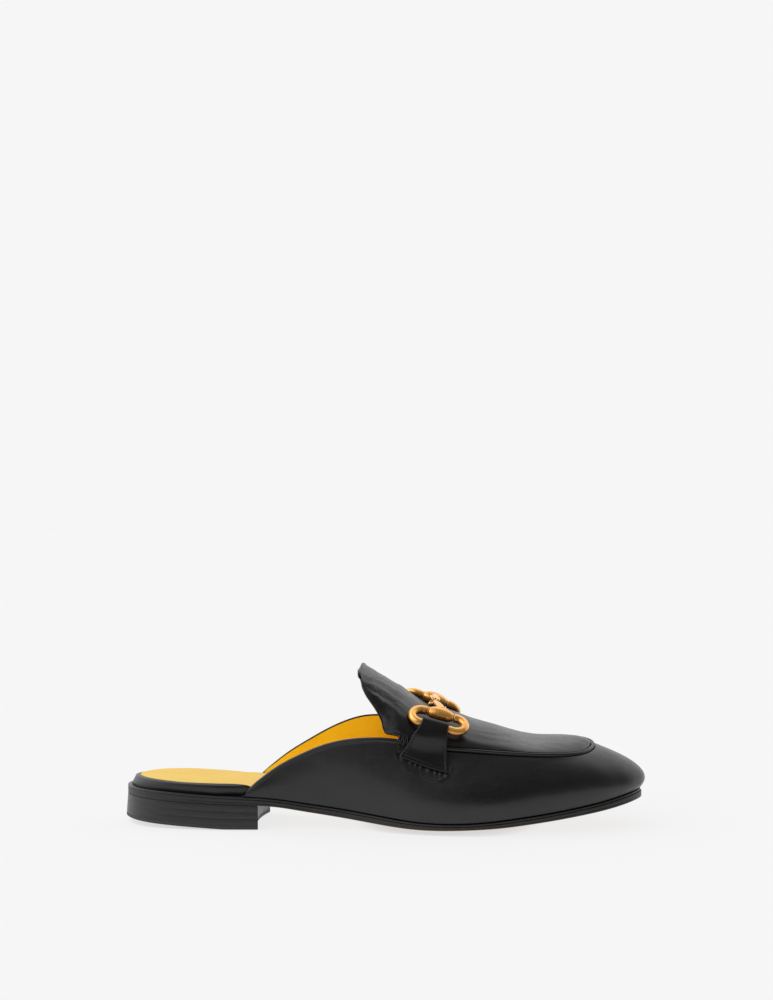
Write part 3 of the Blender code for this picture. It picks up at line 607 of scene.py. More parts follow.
def seam_away(at):
    """Level direction from the seam towards the outside of the shoe."""
    foot, outward = wall_foot(at)
    level = foot - seam_middle(at)
    level[..., 2] = 0
    return unit(level + OUTLINE_WEIGHT * outward)


def down_wall(at):
    slope = np.radians(wall_slope(at))[..., None]
    return seam_away(at) * np.cos(slope) - UP * np.sin(slope)


def up_plug(at):
    lift = np.radians(arch_lift(row_at(at)))[..., None]
    return -seam_away(at) * np.cos(lift) + UP * np.sin(lift)


WALL_HANDLE = 0.42           # reach of the handles of a wall section, as a share of its height or length
ARCH_HANDLE = 0.6            # and of an arch, as a share of the way to its corner
ARCH_RUN = 0.9               # how far in a corner may lie, as a share of half the arch
ARCH_PROBE = 1e-6            # level direction of an arch whose ends meet


def wall_point(at, share):
    """Point of the wall's outer face, from its foot (share 0) to its top edge (share 1)."""
    at = np.asarray(at, float)
    foot, outward = wall_foot(at)
    down = down_wall(at)
    edge = seam_middle(at) + seam_half_width(at) * down
    height = (edge - foot)[..., 2:3]
    reach = np.linalg.norm(edge - foot, axis=-1, keepdims=True)
    low_handle = foot + outward * wall_belly(at)[..., None] + UP * height * WALL_HANDLE
    high_handle = edge + down * reach * WALL_HANDLE
    return bezier(foot, low_handle, high_handle, edge, share)


def plug_edge(at):
    """Edge of the plug, on the inner side of the raised seam."""
    at = np.asarray(at, float)
    return seam_middle(at) + seam_half_width(at) * up_plug(at)


tongue_rows = np.arange(THROAT + 1)
throat_edges = {-1: plug_edge(np.array(float(THROAT))), 1: plug_edge(np.array(2.0 * LAST_ROW - THROAT))}
tongue_edge = {}
for side, y_name, z_name in ((-1, "lat_y", "lat_z"), (1, "med_y", "med_z")):
    columns = (tongue_table["x"], tongue_table[y_name], tongue_table[z_name])
    tongue_edge[side] = [spline(tongue_rows, np.append(column, end))
                         for column, end in zip(columns, throat_edges[side])]


def arch_edge(row, side):
    """End of an arch: on the tongue's free edge up to the throat, then on the plug's edge."""
    free = np.stack([curve(np.minimum(row, THROAT)) for curve in tongue_edge[side]], -1)
    at = np.maximum(row, THROAT)
    sewn = plug_edge(at if side < 0 else 2 * LAST_ROW - at)
    return np.where((row < THROAT)[..., None], free, sewn)


def arch_point(row, share):
    """Point of the tongue and plug: share runs over the arch from its lateral to its medial end."""
    row, share = np.broadcast_arrays(np.asarray(row, float), np.asarray(share, float))
    ends = {side: arch_edge(row, side) for side in (-1, 1)}
    middle = (ends[-1] + ends[1]) / 2
    crest = np.stack([crest_x(row), middle[..., 1], crest_z(row)], -1)
    crest[..., 0] += (middle[..., 0] - crest_x(row)) * smooth_step(row, THROAT, THROAT + 1)
    chord = ends[1] - ends[-1]
    level = np.zeros_like(chord)
    level[..., 1:] = chord[..., 1:]
    level = unit(level + ARCH_PROBE * np.array([0, 1.0, 0]))
    rise_way = np.stack([np.zeros_like(row), -level[..., 2], level[..., 1]], -1)
    rise = ((crest - middle) * rise_way).sum(-1)
    half = np.linalg.norm(chord, axis=-1) / 2
    run = np.minimum(rise / np.tan(np.radians(arch_lift(row))), ARCH_RUN * half)
    result = np.zeros(row.shape + (3,))
    for side in (-1, 1):
        end = ends[side]
        corner = end + rise_way * rise[..., None] - side * level * run[..., None]
        corner[..., 0] = end[..., 0]
        top_corner = corner.copy()
        top_corner[..., 0] = crest[..., 0]
        low_handle = end + ARCH_HANDLE * (corner - end)
        high_handle = crest + ARCH_HANDLE * (top_corner - crest)
        part = bezier(end, low_handle, high_handle, crest, 2 * (share if side < 0 else 1 - share))
        chosen = (share <= 0.5) if side < 0 else (share > 0.5)
        result = np.where(chosen[..., None], part, result)
    return result


# ---- sheets of the upper

WALL_SECTION_COUNT = 1600    # fine lines from which the even grids of the sheets are taken, and their points
WALL_SECTION_POINTS = 160
ARCH_COUNT = 900
ARCH_POINTS = 321
EDGE_STEPS = np.array([0, .08, .18, .3, .44, .6, FOLD, 1.02, 1.26, 1.5, 1.75, 2.0, 2.3, 2.6, 3.0, 3.5])
GROOVE = 12                  # step at which the groove of a free edge's stitching runs
LOW_WALL = 6                 # the lining leaves out the quarter's end where the wall is lower than this
STITCHED_WALL = 14           # and the topline's stitches where it is lower than this
BEAD_HEIGHT = 0.20           # roll along a free edge, outside the groove
GROOVE_DEPTH = 0.30
GROOVE_PLACE = 2.3           # distance from the edge
GROOVE_WIDTH = 0.36
THINNEST = 0.25              # least thickness of the leather at its edge


def edge_samples(total, count, start=0.0):
    """Distances along a line of a given length, close together near its start."""
    near = (start + EDGE_STEPS) * min(1.0, total / 12)
    far = np.linspace(near[-1], total, count - len(near) + 1)[1:]
    return np.concatenate([near, far])


def wall_sheet(start):
    """Grid of the wall: sections along the foot, and points from the top edge down; start moves the edge."""
    dense = np.linspace(0, 2 * LAST_ROW, WALL_SECTION_COUNT)
    along = wall_foot(dense)[0]
    reach = reach_along(along)
    count = int(reach[-1] / GRAIN)
    at = np.interp(np.linspace(0, reach[-1], count), reach, dense)
    lines = wall_point(at[:, None], np.linspace(1, 0, WALL_SECTION_POINTS)[None, :])
    totals = line_length(lines)
    columns = int(totals.max() / GRAIN) + 8
    distances = np.array([edge_samples(total, columns, begin) for total, begin in zip(totals, start(at))])
    return at, resample(lines, distances), distances


def arch_sheet(start):
    """Grid of the tongue and plug: rows from the tongue's tip forward, and points across each arch."""
    dense = np.linspace(0, LAST_ROW, ARCH_COUNT)
    crest = arch_point(dense, 0.5)
    ends = arch_edge(dense, -1)
    steps = [np.linalg.norm(np.diff(line, axis=0), axis=1) for line in (crest, ends)]
    reach = np.concatenate([[0.0], np.cumsum(sum(steps) / 2)])
    first = start(0.0) + EDGE_STEPS[:-1]
    rest = np.arange(first[-1] + 0.6, reach[-1], GRAIN)
    row = np.interp(np.concatenate([first, rest]), reach, dense)
    lines = arch_point(row[:, None], np.linspace(0, 1, ARCH_POINTS)[None, :])
    totals = line_length(lines)
    half = int(totals.max() / 2 / GRAIN) + 8
    distances = []
    for total, begin in zip(totals, start(row)):
        side = edge_samples(total / 2, half, begin)
        distances.append(np.concatenate([side, total - side[-2::-1]]))
    distances = np.array(distances)
    grid = resample(lines, distances)
    from_side = np.minimum(distances, totals[:, None] - distances)
    from_tip = np.interp(row, dense, reach)[:, None] * np.ones_like(from_side)
    return row, grid, from_side, from_tip


def free_share(row):
    """1 where the leather's edge is free, 0 where it is sewn to the seam."""
    return 1 - smooth_step(row, THROAT - 0.25, THROAT + 0.35)


def lining_start(row):
    """Distance from the edge at which the lining starts: under the folded edge, or clear of the seam."""
    free = free_share(row)
    return 0.1 + FOLD * free + 1.6 * (1 - free)


def rounded(distance, radius):
    """How far a rounded edge falls below its sheet at a distance from the edge."""
    inside = np.clip(distance, 0, radius)
    return radius - np.sqrt(np.maximum(radius ** 2 - (radius - inside) ** 2, 0))


def leather_depths(distance, free):
    """Depths of the leather's two faces: a free edge is folded in, and a sewn edge dives to the seam."""
    outer = free * rounded(distance, WALL / 2) + (1 - free) * rounded(distance, 0.6) * 1.2
    bead = BEAD_HEIGHT * smooth_step(distance, 2.25, 1.7) * smooth_step(distance, 0.2, 0.9)
    groove = GROOVE_DEPTH * swell(distance, GROOVE_PLACE, GROOVE_WIDTH)
    outer = outer - free * (bead - groove)
    folded = WALL - rounded(distance, WALL / 2)
    inner = LEATHER + free * (folded - LEATHER) * (1 - smooth_step(distance, FOLD - 0.2, FOLD))
    return outer, np.maximum(inner, outer + THINNEST)


def shell(name, grid, normals, outer, inner, finish, **more):
    """Closed sheet between two depths under a grid; the depths are measured against its normals."""
    high = grid - normals * outer[..., None]
    low = grid - normals * inner[..., None]
    solid_between(name, low, high, finish, **more)


# Creases: side, three points in side view, half width, and height (below 0 a trough).
WALL_CREASES = """
side    x0   z0    x1   z1    x2   z2 width height
  -1 149.5 28.8 156.5 26.8 162.6 28.9  0.60   0.50
  -1 162.2 28.9 163.8 30.6 164.4 33.5  0.60   0.25
  -1 139.6 33.4 145.0 30.6 150.0 28.8  0.55   0.26
  -1 137.2 42.6 136.6 40.0 137.4 37.0  0.50   0.18
  -1 139.0 44.2 138.2 41.8 138.5 39.4  0.45   0.20
  -1 166.0 30.0 171.0 34.5 180.0 37.0  3.20   0.14
   1 137.0 35.5 148.0 32.5 159.0 34.0   1.0   0.30
   1 157.0 34.0 161.5 36.0 163.0 41.0   0.9   0.26
   1 130.0 48.0 131.5 41.0 135.5 34.0   1.4  -0.18
"""

ARCH_CREASES = """
side    x0   z0    x1   z1    x2   z2 width height
  -1 121.9 74.6 124.4 74.8 127.8 73.8  0.50   0.22
  -1 122.2 72.3 124.4 72.1 127.6 70.9  0.50   0.24
  -1 123.0 69.8 124.6 70.0 127.0 69.2  0.45   0.20
  -1 124.3 67.0 126.0 67.2 128.4 66.2  0.50   0.22
  -1 126.6 62.6 128.6 62.8 131.0 61.4  0.50   0.18
  -1 128.6 57.8 130.4 58.0 132.6 56.8  0.45   0.16
  -1 119.6 73.8 130.0 68.6 143.0 60.4   1.3   0.26
  -1 119.9 71.8 130.0 66.4 141.0 58.6   1.1  -0.20
  -1 121.0 69.6 130.5 63.8 140.0 56.6   1.2   0.22
  -1 122.6 66.6 129.0 61.4 137.0 55.6   1.2  -0.18
  -1 124.4 63.0 129.0 58.2 134.5 54.2   1.1   0.16
  -1 128.0 57.6 131.0 54.0 135.5 51.6   1.2  -0.20
  -1 118.6 76.6 128.0 72.6 140.0 65.4   1.6   0.18
   1 119.6 74.8 130.0 69.6 143.0 61.8   1.3   0.24
   1 120.2 72.0 130.0 66.8 141.0 59.6   1.2  -0.20
   1 122.0 69.4 130.0 63.4 138.5 58.2   1.2   0.20
   1 126.0 62.0 130.0 57.6 136.0 54.6   1.2  -0.18
  -1 168.0 46.8 178.0 44.0 190.0 42.6   1.7   0.10
  -1 166.0 49.8 178.0 46.4 192.0 44.4   1.9  -0.10
  -1 172.0 50.6 184.0 47.8 198.0 45.2   1.8   0.10
  -1 178.0 46.4 190.0 44.2 204.0 42.6   1.7  -0.08
   1 170.0 49.0 182.0 46.2 196.0 44.0   1.8   0.10
   1 168.0 51.4 182.0 47.6 198.0 45.2   2.0  -0.09
"""


CREASE_STEPS = 20            # steps along each crease


def crease_field(grid, text):
    """Height that the listed creases give each point of a grid."""
    creases = table(text)
    height = np.zeros(grid.shape[:2])
    flat = grid.reshape(-1, 3)
    for k, side in enumerate(creases["side"]):
        ends = [np.array([creases[f"x{n}"][k], creases[f"z{n}"][k]]) for n in range(3)]
        share = np.linspace(0, 1, CREASE_STEPS + 1)[:, None]
        middle = 2 * ends[1] - (ends[0] + ends[2]) / 2
        line = (1 - share) ** 2 * ends[0] + 2 * share * (1 - share) * middle + share ** 2 * ends[2]
        near_side = flat[flat[:, 1] * side > 0]
        miss = ((near_side[None, :, [0, 2]] - line[:, None]) ** 2).sum(-1)
        route = near_side[miss.argmin(1)]
        half_way = route[CREASE_STEPS // 2]
        touched = np.linalg.norm(flat - half_way, axis=1) < line_length(route) / 2 + 6 * creases["width"][k]
        gap = np.linalg.norm(flat[touched][:, None] - route[None], axis=-1)
        place = gap.argmin(1) / CREASE_STEPS
        taper = np.sin(np.pi * np.clip(place, 0.04, 0.96)) ** 0.6
        nearest = gap.min(1) / creases["width"][k]
        profile = swell(nearest, 0, 1) - 0.2 * swell(nearest, 1.9, 0.8)
        height.reshape(-1)[touched] += creases["height"][k] * taper * profile
    return height


def tab_puckers(grid, at, distance):
    """Short puckers in the wall, below the stitched end of each tab."""
    height = np.zeros(grid.shape[:2])
    station = np.interp(row_at(at), arch_row, wall_table["top"])[:, None]
    for side in (-1, 1):
        back, front = trim(side, "foot_back"), trim(side, "foot_front")
        share = (station - back) / (front - back)
        end = trim(side, "drop_back") + (trim(side, "drop_front") - trim(side, "drop_back")) * share
        below = distance + RIDGE_HALF_WIDTH - end
        ripple = np.sin(station * 2.15 + 1.5 * np.sin(station * 0.6) + below * 0.25)
        band = swell(below, 0.8, 1.7) * smooth_step(share, -0.12, 0.02) * smooth_step(share, 1.1, 0.97)
        dent = swell(below, -0.2, 1.3) * smooth_step(share, -0.15, 0) * smooth_step(share, 1.12, 1)
        on_side = (at < LAST_ROW if side < 0 else at > LAST_ROW)[:, None]
        height += on_side * (PUCKER_HEIGHT * ripple * band - PUCKER_DENT * dent)
    return height


def uneven(grid, broad, narrow, seed):
    """Faint unevenness of lasted leather: broad and narrow swells, by their spacing."""
    return 0.10 * wave(grid, broad, seed) + 0.05 * wave(grid, narrow, seed + 1)


def make_lining(name, grid, normals, finish):
    """Lining under a sheet of the upper, down to the inside of its wall."""
    outer = np.full(grid.shape[:2], LEATHER + LINING_GAP)
    shell(name, grid, normals, outer, np.full_like(outer, WALL), finish, slot="yellow_leather")


def make_upper_leather(finish, lining, thread):
    """Quarters and vamp as one sheet of leather round the last, folded in along the topline, and lined."""
    at, grid, distance = wall_sheet(np.zeros_like)
    normals = -grid_normals(grid)
    from_foot = distance[:, -1:] - distance
    free = free_share(row_at(at)[:, None])
    outer, inner = leather_depths(distance, free)
    relief = crease_field(grid, WALL_CREASES) + tab_puckers(grid, at, distance)
    relief += uneven(grid, 26.0, 11.0, 3)
    relief *= smooth_step(distance, 0.3, 3.0) * smooth_step(from_foot, 0.3, 4.0)
    grid = grid - UP * (SEAT_GAP - 0.05) * smooth_step(from_foot, 3.0, 0.0)[..., None]
    outer = outer - relief + rounded(from_foot, 0.4)
    shell("upper_leather", grid, normals, outer, inner, finish, node="upper")
    free_rows = (distance[:, -1] > STITCHED_WALL) & (free[:, 0] > 0.99)
    groove = grid[:, GROOVE] - normals[:, GROOVE] * outer[:, GROOVE, None]
    sides = (free_rows & (at < LAST_ROW), free_rows & (at > LAST_ROW))
    seams = [(groove[part], -normals[part, GROOVE]) for part in sides]
    stitches("topline_stitches", seams, *TOPLINE_STITCH, thread)

    _, grid, distance = wall_sheet(lambda at: lining_start(row_at(at)))
    grid = grid[distance[:, -1] > LOW_WALL]
    make_lining("quarter_lining", grid, -grid_normals(grid), lining)


def make_apron(finish, lining):
    """Plug and tongue as one sheet, with a folded edge round the tongue, and its lining."""
    row, grid, from_side, from_tip = arch_sheet(np.zeros_like)
    normals = grid_normals(grid)
    free = free_share(row)[:, None]
    distance = np.where(free > 0.5, np.minimum(from_side, from_tip), from_side)
    outer, inner = leather_depths(distance, free)
    relief = crease_field(grid, ARCH_CREASES) + uneven(grid, 24.0, 10.0, 5)
    relief *= smooth_step(distance, 0.3, 3.0)
    shell("apron_leather", grid, normals, outer - relief, inner, finish)

    grid = arch_sheet(lambda row: lining_start(row) + TONGUE_FOLD * free_share(row))[1]
    make_lining("tongue_lining", grid, grid_normals(grid), lining)


def make_apron_seam(finish):
    """Raised seam: a half-round roll of leather between the wall and the plug."""
    at = np.linspace(THROAT, 2 * LAST_ROW - THROAT, RIDGE_STEPS)
    middle = seam_middle(at)
    half = seam_half_width(at)
    along = unit(np.gradient(middle, axis=0))
    across_way = unit(down_wall(at) - up_plug(at))
    outward = unit(np.cross(across_way, along))
    outward *= np.sign((outward * (seam_away(at) + UP)).sum(-1, keepdims=True))
    pinch = 1 - RIDGE_PINCH * np.cos(reach_along(middle) * 2 * math.pi / RIDGE_PITCH)[:, None] ** 6
    rings = []
    for turn in np.linspace(0, 2 * math.pi, RIDGE_SIDES, endpoint=False):
        wide = (RIDGE_CREST if turn < math.pi else RIDGE_ROOT) * half * math.cos(turn)
        height = RIDGE_HEIGHT + RIDGE_SINK if turn < math.pi else RIDGE_DEPTH
        tall = height * half / RIDGE_HALF_WIDTH * math.sin(turn)
        rings.append(middle + across_way * wide * pinch + outward * (tall * pinch - RIDGE_SINK))
    grid = np.array(rings).transpose(1, 0, 2)
    new_piece("apron_seam", grid.reshape(-1, 3), tube_faces(*grid.shape[:2]), finish)


# ---- bottom of the shoe

FILLET = np.radians([0, 22, 45, 68, 90])


def edge_profile(low, high, low_radius, high_radius, groove=0.0):
    """Loops of a layer's edge from its underside to its top, as extra insets and height functions."""
    def rounding(surface, radius, way):
        return [(radius * (1 - math.sin(turn)),
                 lambda x, y, rise=way * radius * (1 - math.cos(turn)): surface(x, y) + rise)
                for turn in FILLET]

    loops = rounding(low, low_radius, 1)
    if groove:
        loops += [(depth, lambda x, y, rise=rise: (low(x, y) + high(x, y)) / 2 + rise)
                  for rise, depth in ((-0.24, 0.0), (-0.08, groove), (0.08, groove), (0.24, 0.0))]
    return loops + rounding(high, high_radius, -1)[::-1]


def layer(name, finish, inset, low, high, radii, groove=0.0, **more):
    """A flat piece of the bottom between two heights, with both edges rounded."""
    sheets = [sole_leaf(lambda x, r=radius: inset(x) + r, height)
              for radius, height in zip(radii, (low, high))]
    belts = [rim(sole_leaf(lambda x, e=extra: inset(x) + e, height))
             for extra, height in edge_profile(low, high, *radii, groove)]
    solid_between(name, *sheets, finish, belts=belts, **more)


# Brim of the insole's cover round the sock: place across it, and how far it lies below its top.
SOCK_BRIM = """
across drop
  0.00 1.10
  0.02 0.86
  0.08 0.66
  0.18 0.52
  0.42 0.35
  0.66 0.19
  0.88 0.04
  0.95 0.00
  1.00 0.08
"""


def make_bottom(finishes):
    """Outsole, midsole, insole and sock, one on the other, closed up to thin lines between them."""
    outsole_top = lambda x, y: seat_height(x, y) - MIDSOLE - LAYER_GAP
    layer("outsole_leather", finishes["sole"], lambda x: 0 * x, tread_height, outsole_top,
          radii=(0.45, 0.22), groove=0.07, node="outsole", slot="sole_leather")
    layer("midsole_edge", finishes["edge"], lambda x: 0.55 * smooth_step(x, 40, 80),
          lambda x, y: seat_height(x, y) - MIDSOLE, seat_height, radii=(0.22, 0.30),
          node="midsole", slot="black_edge")
    floor = lambda x, y: seat_height(x, y) + insole_top(x)
    lean = lambda x: 2.0 * smooth_step(x, 30, 0)
    width = lambda x: 2.28 - 2.1 * smooth_step(x, 54, 64)
    rise = lambda x, y: ((SOCK + 0.05 + 0.75 * smooth_step(x, 25, 52) * smooth_step(y, 0, -15))
                         * (1 - 0.9 * smooth_step(x, 60, 68)) * (1 - 0.8 * smooth_step(y, 0, 12)))
    inner = lambda x: insole_inset(x) + lean(x) + width(x)
    brim = table(SOCK_BRIM)
    loops = [(insole_inset, lambda x, y: seat_height(x, y) + 0.3)]
    loops += [(lambda x, p=place: insole_inset(x) + lean(x) + p * width(x),
               lambda x, y, d=drop: floor(x, y) + rise(x, y) * (1 - d))
              for place, drop in zip(brim["across"], brim["drop"])]
    under = sole_leaf(lambda x: insole_inset(x) + 0.25, lambda x, y: seat_height(x, y) + 0.05)
    sheets = [under, sole_leaf(inner, floor)]
    belts = [rim(sole_leaf(inset, height)) for inset, height in loops]
    solid_between("insole_cover", *sheets, finishes["leather"], belts=belts, node="insole")
    sock_low = lambda x, y: floor(x, y) + 0.02
    layer("sock_leather", finishes["sock"], lambda x: inner(x) + 0.12, sock_low,
          lambda x, y: sock_low(x, y) + SOCK, radii=(0.1, 0.45), node="sock", slot="yellow_leather")


HEEL_RUNGS = 90
HEEL_COLUMNS = 30


def heel_grid(inset, height):
    """Grid over the heel: from its back to the breast, whose middle is hollow."""
    breast = {side: share_at(HEEL_BREAST_X, side) for side in (-1, 1)}
    turn = np.linspace(0, math.pi / 1.6, HEEL_RUNGS + 1)
    run = (1 - np.cos(turn)) / (1 - math.cos(turn[-1]))
    blend = np.linspace(0, 1, HEEL_COLUMNS + 1)
    flat = over_outline(run * breast[-1], 1 - run * (1 - breast[1]), blend, inset)
    flat[..., 0] -= HEEL_BREAST_HOLLOW * run[:, None] ** 3 * (1 - (2 * blend[None, :] - 1) ** 2)
    return raised(flat, height(flat[..., 0], flat[..., 1]))


def heel_piece(name, node, low, high, low_flare, high_flare, bevel, finish, slot):
    """One piece of the heel between two heights; the flare is how far its sides stand out at each."""
    def grid(share, drawn_in, height):
        flare = low_flare + (high_flare - low_flare) * share
        return heel_grid(lambda x: drawn_in - HEEL_FLARE * flare * smooth_step(x, 34, 4), height)

    belts = [rim(grid(k // len(FILLET), extra, height))
             for k, (extra, height) in enumerate(edge_profile(low, high, bevel, bevel))]
    solid_between(name, grid(0, bevel, low), grid(1, bevel, high), finish, belts=belts, node=node, slot=slot,
                  smooth_angle=50)


def make_heel(finishes):
    """Stacked lifts under the outsole's seat, and a top piece whose tread is flat near the breast."""
    back, front = HEEL_SEAT
    slope = (under_edge(front) - under_edge(back)) / (front - back)
    tread = lambda x, y: TREAD_RISE * np.maximum(TREAD_FLAT_X - x, 0) / (TREAD_FLAT_X + 3)
    seat = lambda x, y: under_edge(back) + slope * (x - back) - LAYER_GAP
    piece_top = lambda x, y: tread(x, y) * 0.9 + TOP_PIECE
    levels = [lambda x, y, k=k: piece_top(x, y) + (seat(x, y) - piece_top(x, y)) * k / HEEL_LIFTS
              for k in range(HEEL_LIFTS + 1)]
    heel_piece("heel_tread_rubber", "heel_top_piece", tread, piece_top, 1.0, TOP_PIECE_FLARE, TOP_PIECE_BEVEL,
               finishes["rubber"], "heel_rubber")
    flares = [TOP_PIECE_FLARE * (1 - k / HEEL_LIFTS) for k in range(HEEL_LIFTS + 1)]
    for k in range(HEEL_LIFTS):
        lower = lambda x, y, level=levels[k]: level(x, y) + LIFT_GAP
        heel_piece(f"heel_lift_side_{k + 1}", f"heel_lift_{k + 1}", lower, levels[k + 1], flares[k],
                   flares[k + 1], LIFT_BEVEL, finishes["edge"], "black_edge")


# ---- places on the upper's skin, and tubes along them

trim_table = table(TRIM)


def trim(side, column):
    return trim_table[column][0 if side < 0 else 1]


SKIN_STEPS = 40              # points up the wall, and as many over half the arch
SKIN_PROBE_X = 2             # distances over which the directions on the skin are taken
SKIN_PROBE_UP = 1.5


def skin_path(side, station):
    """Points up the upper's skin at a station of the seam, and their distance above the seam."""
    row = np.interp(station, wall_table["top"], arch_row)
    at = row if side < 0 else 2 * LAST_ROW - row
    wall = wall_point(np.full(SKIN_STEPS, at), np.linspace(0, 1, SKIN_STEPS))
    arch = arch_point(np.full(SKIN_STEPS, row), np.linspace(0 if side < 0 else 1, 0.5, SKIN_STEPS))
    points = np.concatenate([wall[:-1], arch])
    reach = reach_along(points)
    seam = (reach[SKIN_STEPS - 2] + reach[SKIN_STEPS - 1]) / 2
    return points, reach - seam


def skin_at(side, station, reach):
    points, reaches = skin_path(side, station)
    return point_at(reach, reaches, points)


def skin_frame(side, station, reach):
    """Place on the skin, with its directions towards the toe, up the arch, and outward."""
    place = skin_at(side, station, reach)
    ahead, behind = (skin_at(side, station + way * SKIN_PROBE_X, reach) for way in (1, -1))
    above, below = (skin_at(side, station, reach + way * SKIN_PROBE_UP) for way in (1, -1))
    forward = unit(ahead - behind)
    upward = above - below
    outward = unit(np.cross(upward, forward) * side)
    return place, forward, unit(np.cross(forward, outward) * side), outward


def tube(path, radii, square, segments, closed=False):
    """Points and faces of a round tube along a path; square holds a direction square to each step."""
    path = np.asarray(path, float)
    count = len(path)
    if closed:
        along = unit(np.roll(path, -1, axis=0) - np.roll(path, 1, axis=0))
    else:
        along = unit(np.gradient(path, axis=0))
    side = unit(np.cross(along, square))
    other = np.cross(side, along)
    turn = 2 * np.pi * np.arange(segments) / segments
    radii = np.broadcast_to(radii, count)[:, None, None]
    round_way = np.cos(turn)[None, :, None] * side[:, None] + np.sin(turn)[None, :, None] * other[:, None]
    points = (path[:, None] + radii * round_way).reshape(-1, 3)
    return points, tube_faces(count, segments, closed)


# ---- threads

# A stitch along its length: height over the leather and girth, in radii of the thread.
STITCH = """
height girth
  -0.9  0.75
  -0.1  1.0
  0.35  1.0
   0.5  1.0
  0.35  1.0
  -0.1  1.0
  -0.9  0.75
"""


def joined(parts):
    """Points and faces of several parts as one."""
    points = []
    faces = []
    for part, part_faces in parts:
        faces += [[corner + len(points) for corner in face] for face in part_faces]
        points += list(part)
    return points, faces


def stitches(name, seams, pitch, length, radius, finish):
    """A row of stitches on each line: short arched threads that dip into the leather at both ends."""
    stitch = table(STITCH)
    threads = []
    for line, ways in seams:
        reach = reach_along(line)
        for begin in np.arange(pitch / 2, reach[-1] - length, pitch):
            at = begin + length * np.linspace(0, 1, len(stitch["height"]))
            way = unit(point_at(begin, reach, ways))
            spine = point_at(at, reach, line) + way * (stitch["height"] * radius)[:, None]
            threads.append(tube(spine, radius * stitch["girth"], way, THREAD_SIDES))
    new_piece(name, *joined(threads), finish, merge=THREAD_MERGE)


# Loops of the tack at the throat: place along the seam, ends below and above it, and lean.
TACK_LOOPS = """
along  low high lean
 -1.1 -1.6  2.2  0.9
 -0.2 -2.6  2.9  0.3
  0.8 -1.7  3.3  1.3
  1.7 -3.0  2.4 -0.4
  2.6 -2.0  3.4  0.8
  3.7 -2.9  2.7  0.2
  4.8 -1.8  3.2  1.1
"""


def throat_tack(side, side_name, finish):
    """Hand-laid tack at the throat: uneven loops of thread over the start of the seam."""
    threads = []
    start = np.interp(THROAT, arch_row, wall_table["top"])
    loops = table(TACK_LOOPS)
    share = np.linspace(0, 1, 11)
    for along, low, high, lean in zip(*loops.values()):
        reach = high + (low - high) * share
        lift = 0.35 + 1.15 * swell(reach, 0, 1.5) - 0.9 * (2 * share - 1) ** 8
        frames = [skin_frame(side, start + along + lean * above / 3, above) for above in reach]
        spine = np.array([place + outward * height for (place, *_, outward), height in zip(frames, lift)])
        threads.append(tube(spine, TACK_RADIUS, frames[0][1], TACK_SIDES))
    new_piece(f"throat_tack_{side_name}", *joined(threads), finish, merge=THREAD_MERGE)


# ---- snaffle bit

def bit_frame(side):
    """Middle of a ring, with its directions towards the toe, up over the shoe, and out of its plane."""
    place, forward, upward, outward = skin_frame(side, trim(side, "bit_x"), trim(side, "bit_reach"))
    turn = math.radians(trim(side, "bit_turn"))
    turned = forward * math.cos(turn) + upward * math.sin(turn)
    return place + outward * BIT_HEIGHT, turned, upward * math.cos(turn) - forward * math.sin(turn), outward


def lathe(axis_point, axis, spoke, outline, segments):
    """Points and faces of a turned ring: outline holds places along the axis and radii, as a closed loop."""
    other = np.cross(axis, spoke)
    turns = 2 * np.pi * np.arange(segments) / segments
    points = np.array([axis_point + axis * along + (spoke * math.cos(turn) + other * math.sin(turn)) * radius
                       for along, radius in outline for turn in turns])
    return points, tube_faces(len(outline), segments, closed=True)


# Wire of the ring beside its pin: distance from the pin's end, and share of the way to the full radius.
RING_SHOULDERS = """
beyond share
  0.00   0.0
  0.04  0.55
  0.14  0.80
  0.30  0.94
  0.50   1.0
"""


def make_ring(side, side_name, finish):
    """A long ring of round wire: two straight bars, two half rounds, and a thinner pin for the barrel."""
    middle, forward, upward, outward = bit_frame(side)
    end_radius = RING_BAR_SPACING / 2
    straight = (RING_LENGTH - RING_WIRE - RING_BAR_SPACING) / 2
    half_pin = BARREL_LENGTH / 2 + BARREL_PLAY
    shoulder = table(RING_SHOULDERS)
    pin = [(half_pin + beyond, share) for beyond, share in zip(shoulder["beyond"], shoulder["share"])]
    path = []
    radii = []
    for end in (1, -1):
        for turn in np.linspace(-math.pi / 2, math.pi / 2, RING_END_STEPS):
            along = straight + end_radius * math.cos(turn)
            path.append(middle + end * (forward * along + upward * end_radius * math.sin(turn)))
            radii.append(RING_WIRE / 2)
        if end > 0:
            for along, share in [*reversed(pin), *[(-along, share) for along, share in pin]]:
                path.append(middle + forward * (trim(side, "slide") + along) + upward * end_radius)
                radii.append((RING_PIN + (RING_WIRE - RING_PIN) * share) / 2)
    points, faces = tube(path, np.array(radii), outward, RING_SIDES, closed=True)
    new_piece(f"ring_{side_name}", points, faces, finish, node=f"bit_ring_{side_name}", slot="brass",
              smooth_angle=50)


# End of the barrel: share of its half length, and radius in millimetres.
BARREL_END = """
along radius
 1.00   1.92
 0.99   2.08
 0.97   2.18
 0.93   2.22
0.905   2.16
0.895   2.06
 0.88   2.06
 0.87   2.20
"""


def barrel_outline(bore):
    """Outline of the barrel: a bore, a collar and groove at each end, and an olive-shaped body."""
    end = table(BARREL_END)
    half = BARREL_LENGTH / 2
    right = list(zip(end["along"][::-1] * half, end["radius"][::-1]))
    start, low = right[0]
    body = [(start * share, low + (BARREL_DIAMETER / 2 - low) * (1 - share ** 2) ** 0.9)
            for share in np.linspace(-0.99, 0.99, 33)]
    left = [(-along, radius) for along, radius in reversed(right)]
    return [(-half, bore), *left, *body, *right, (half, bore)]


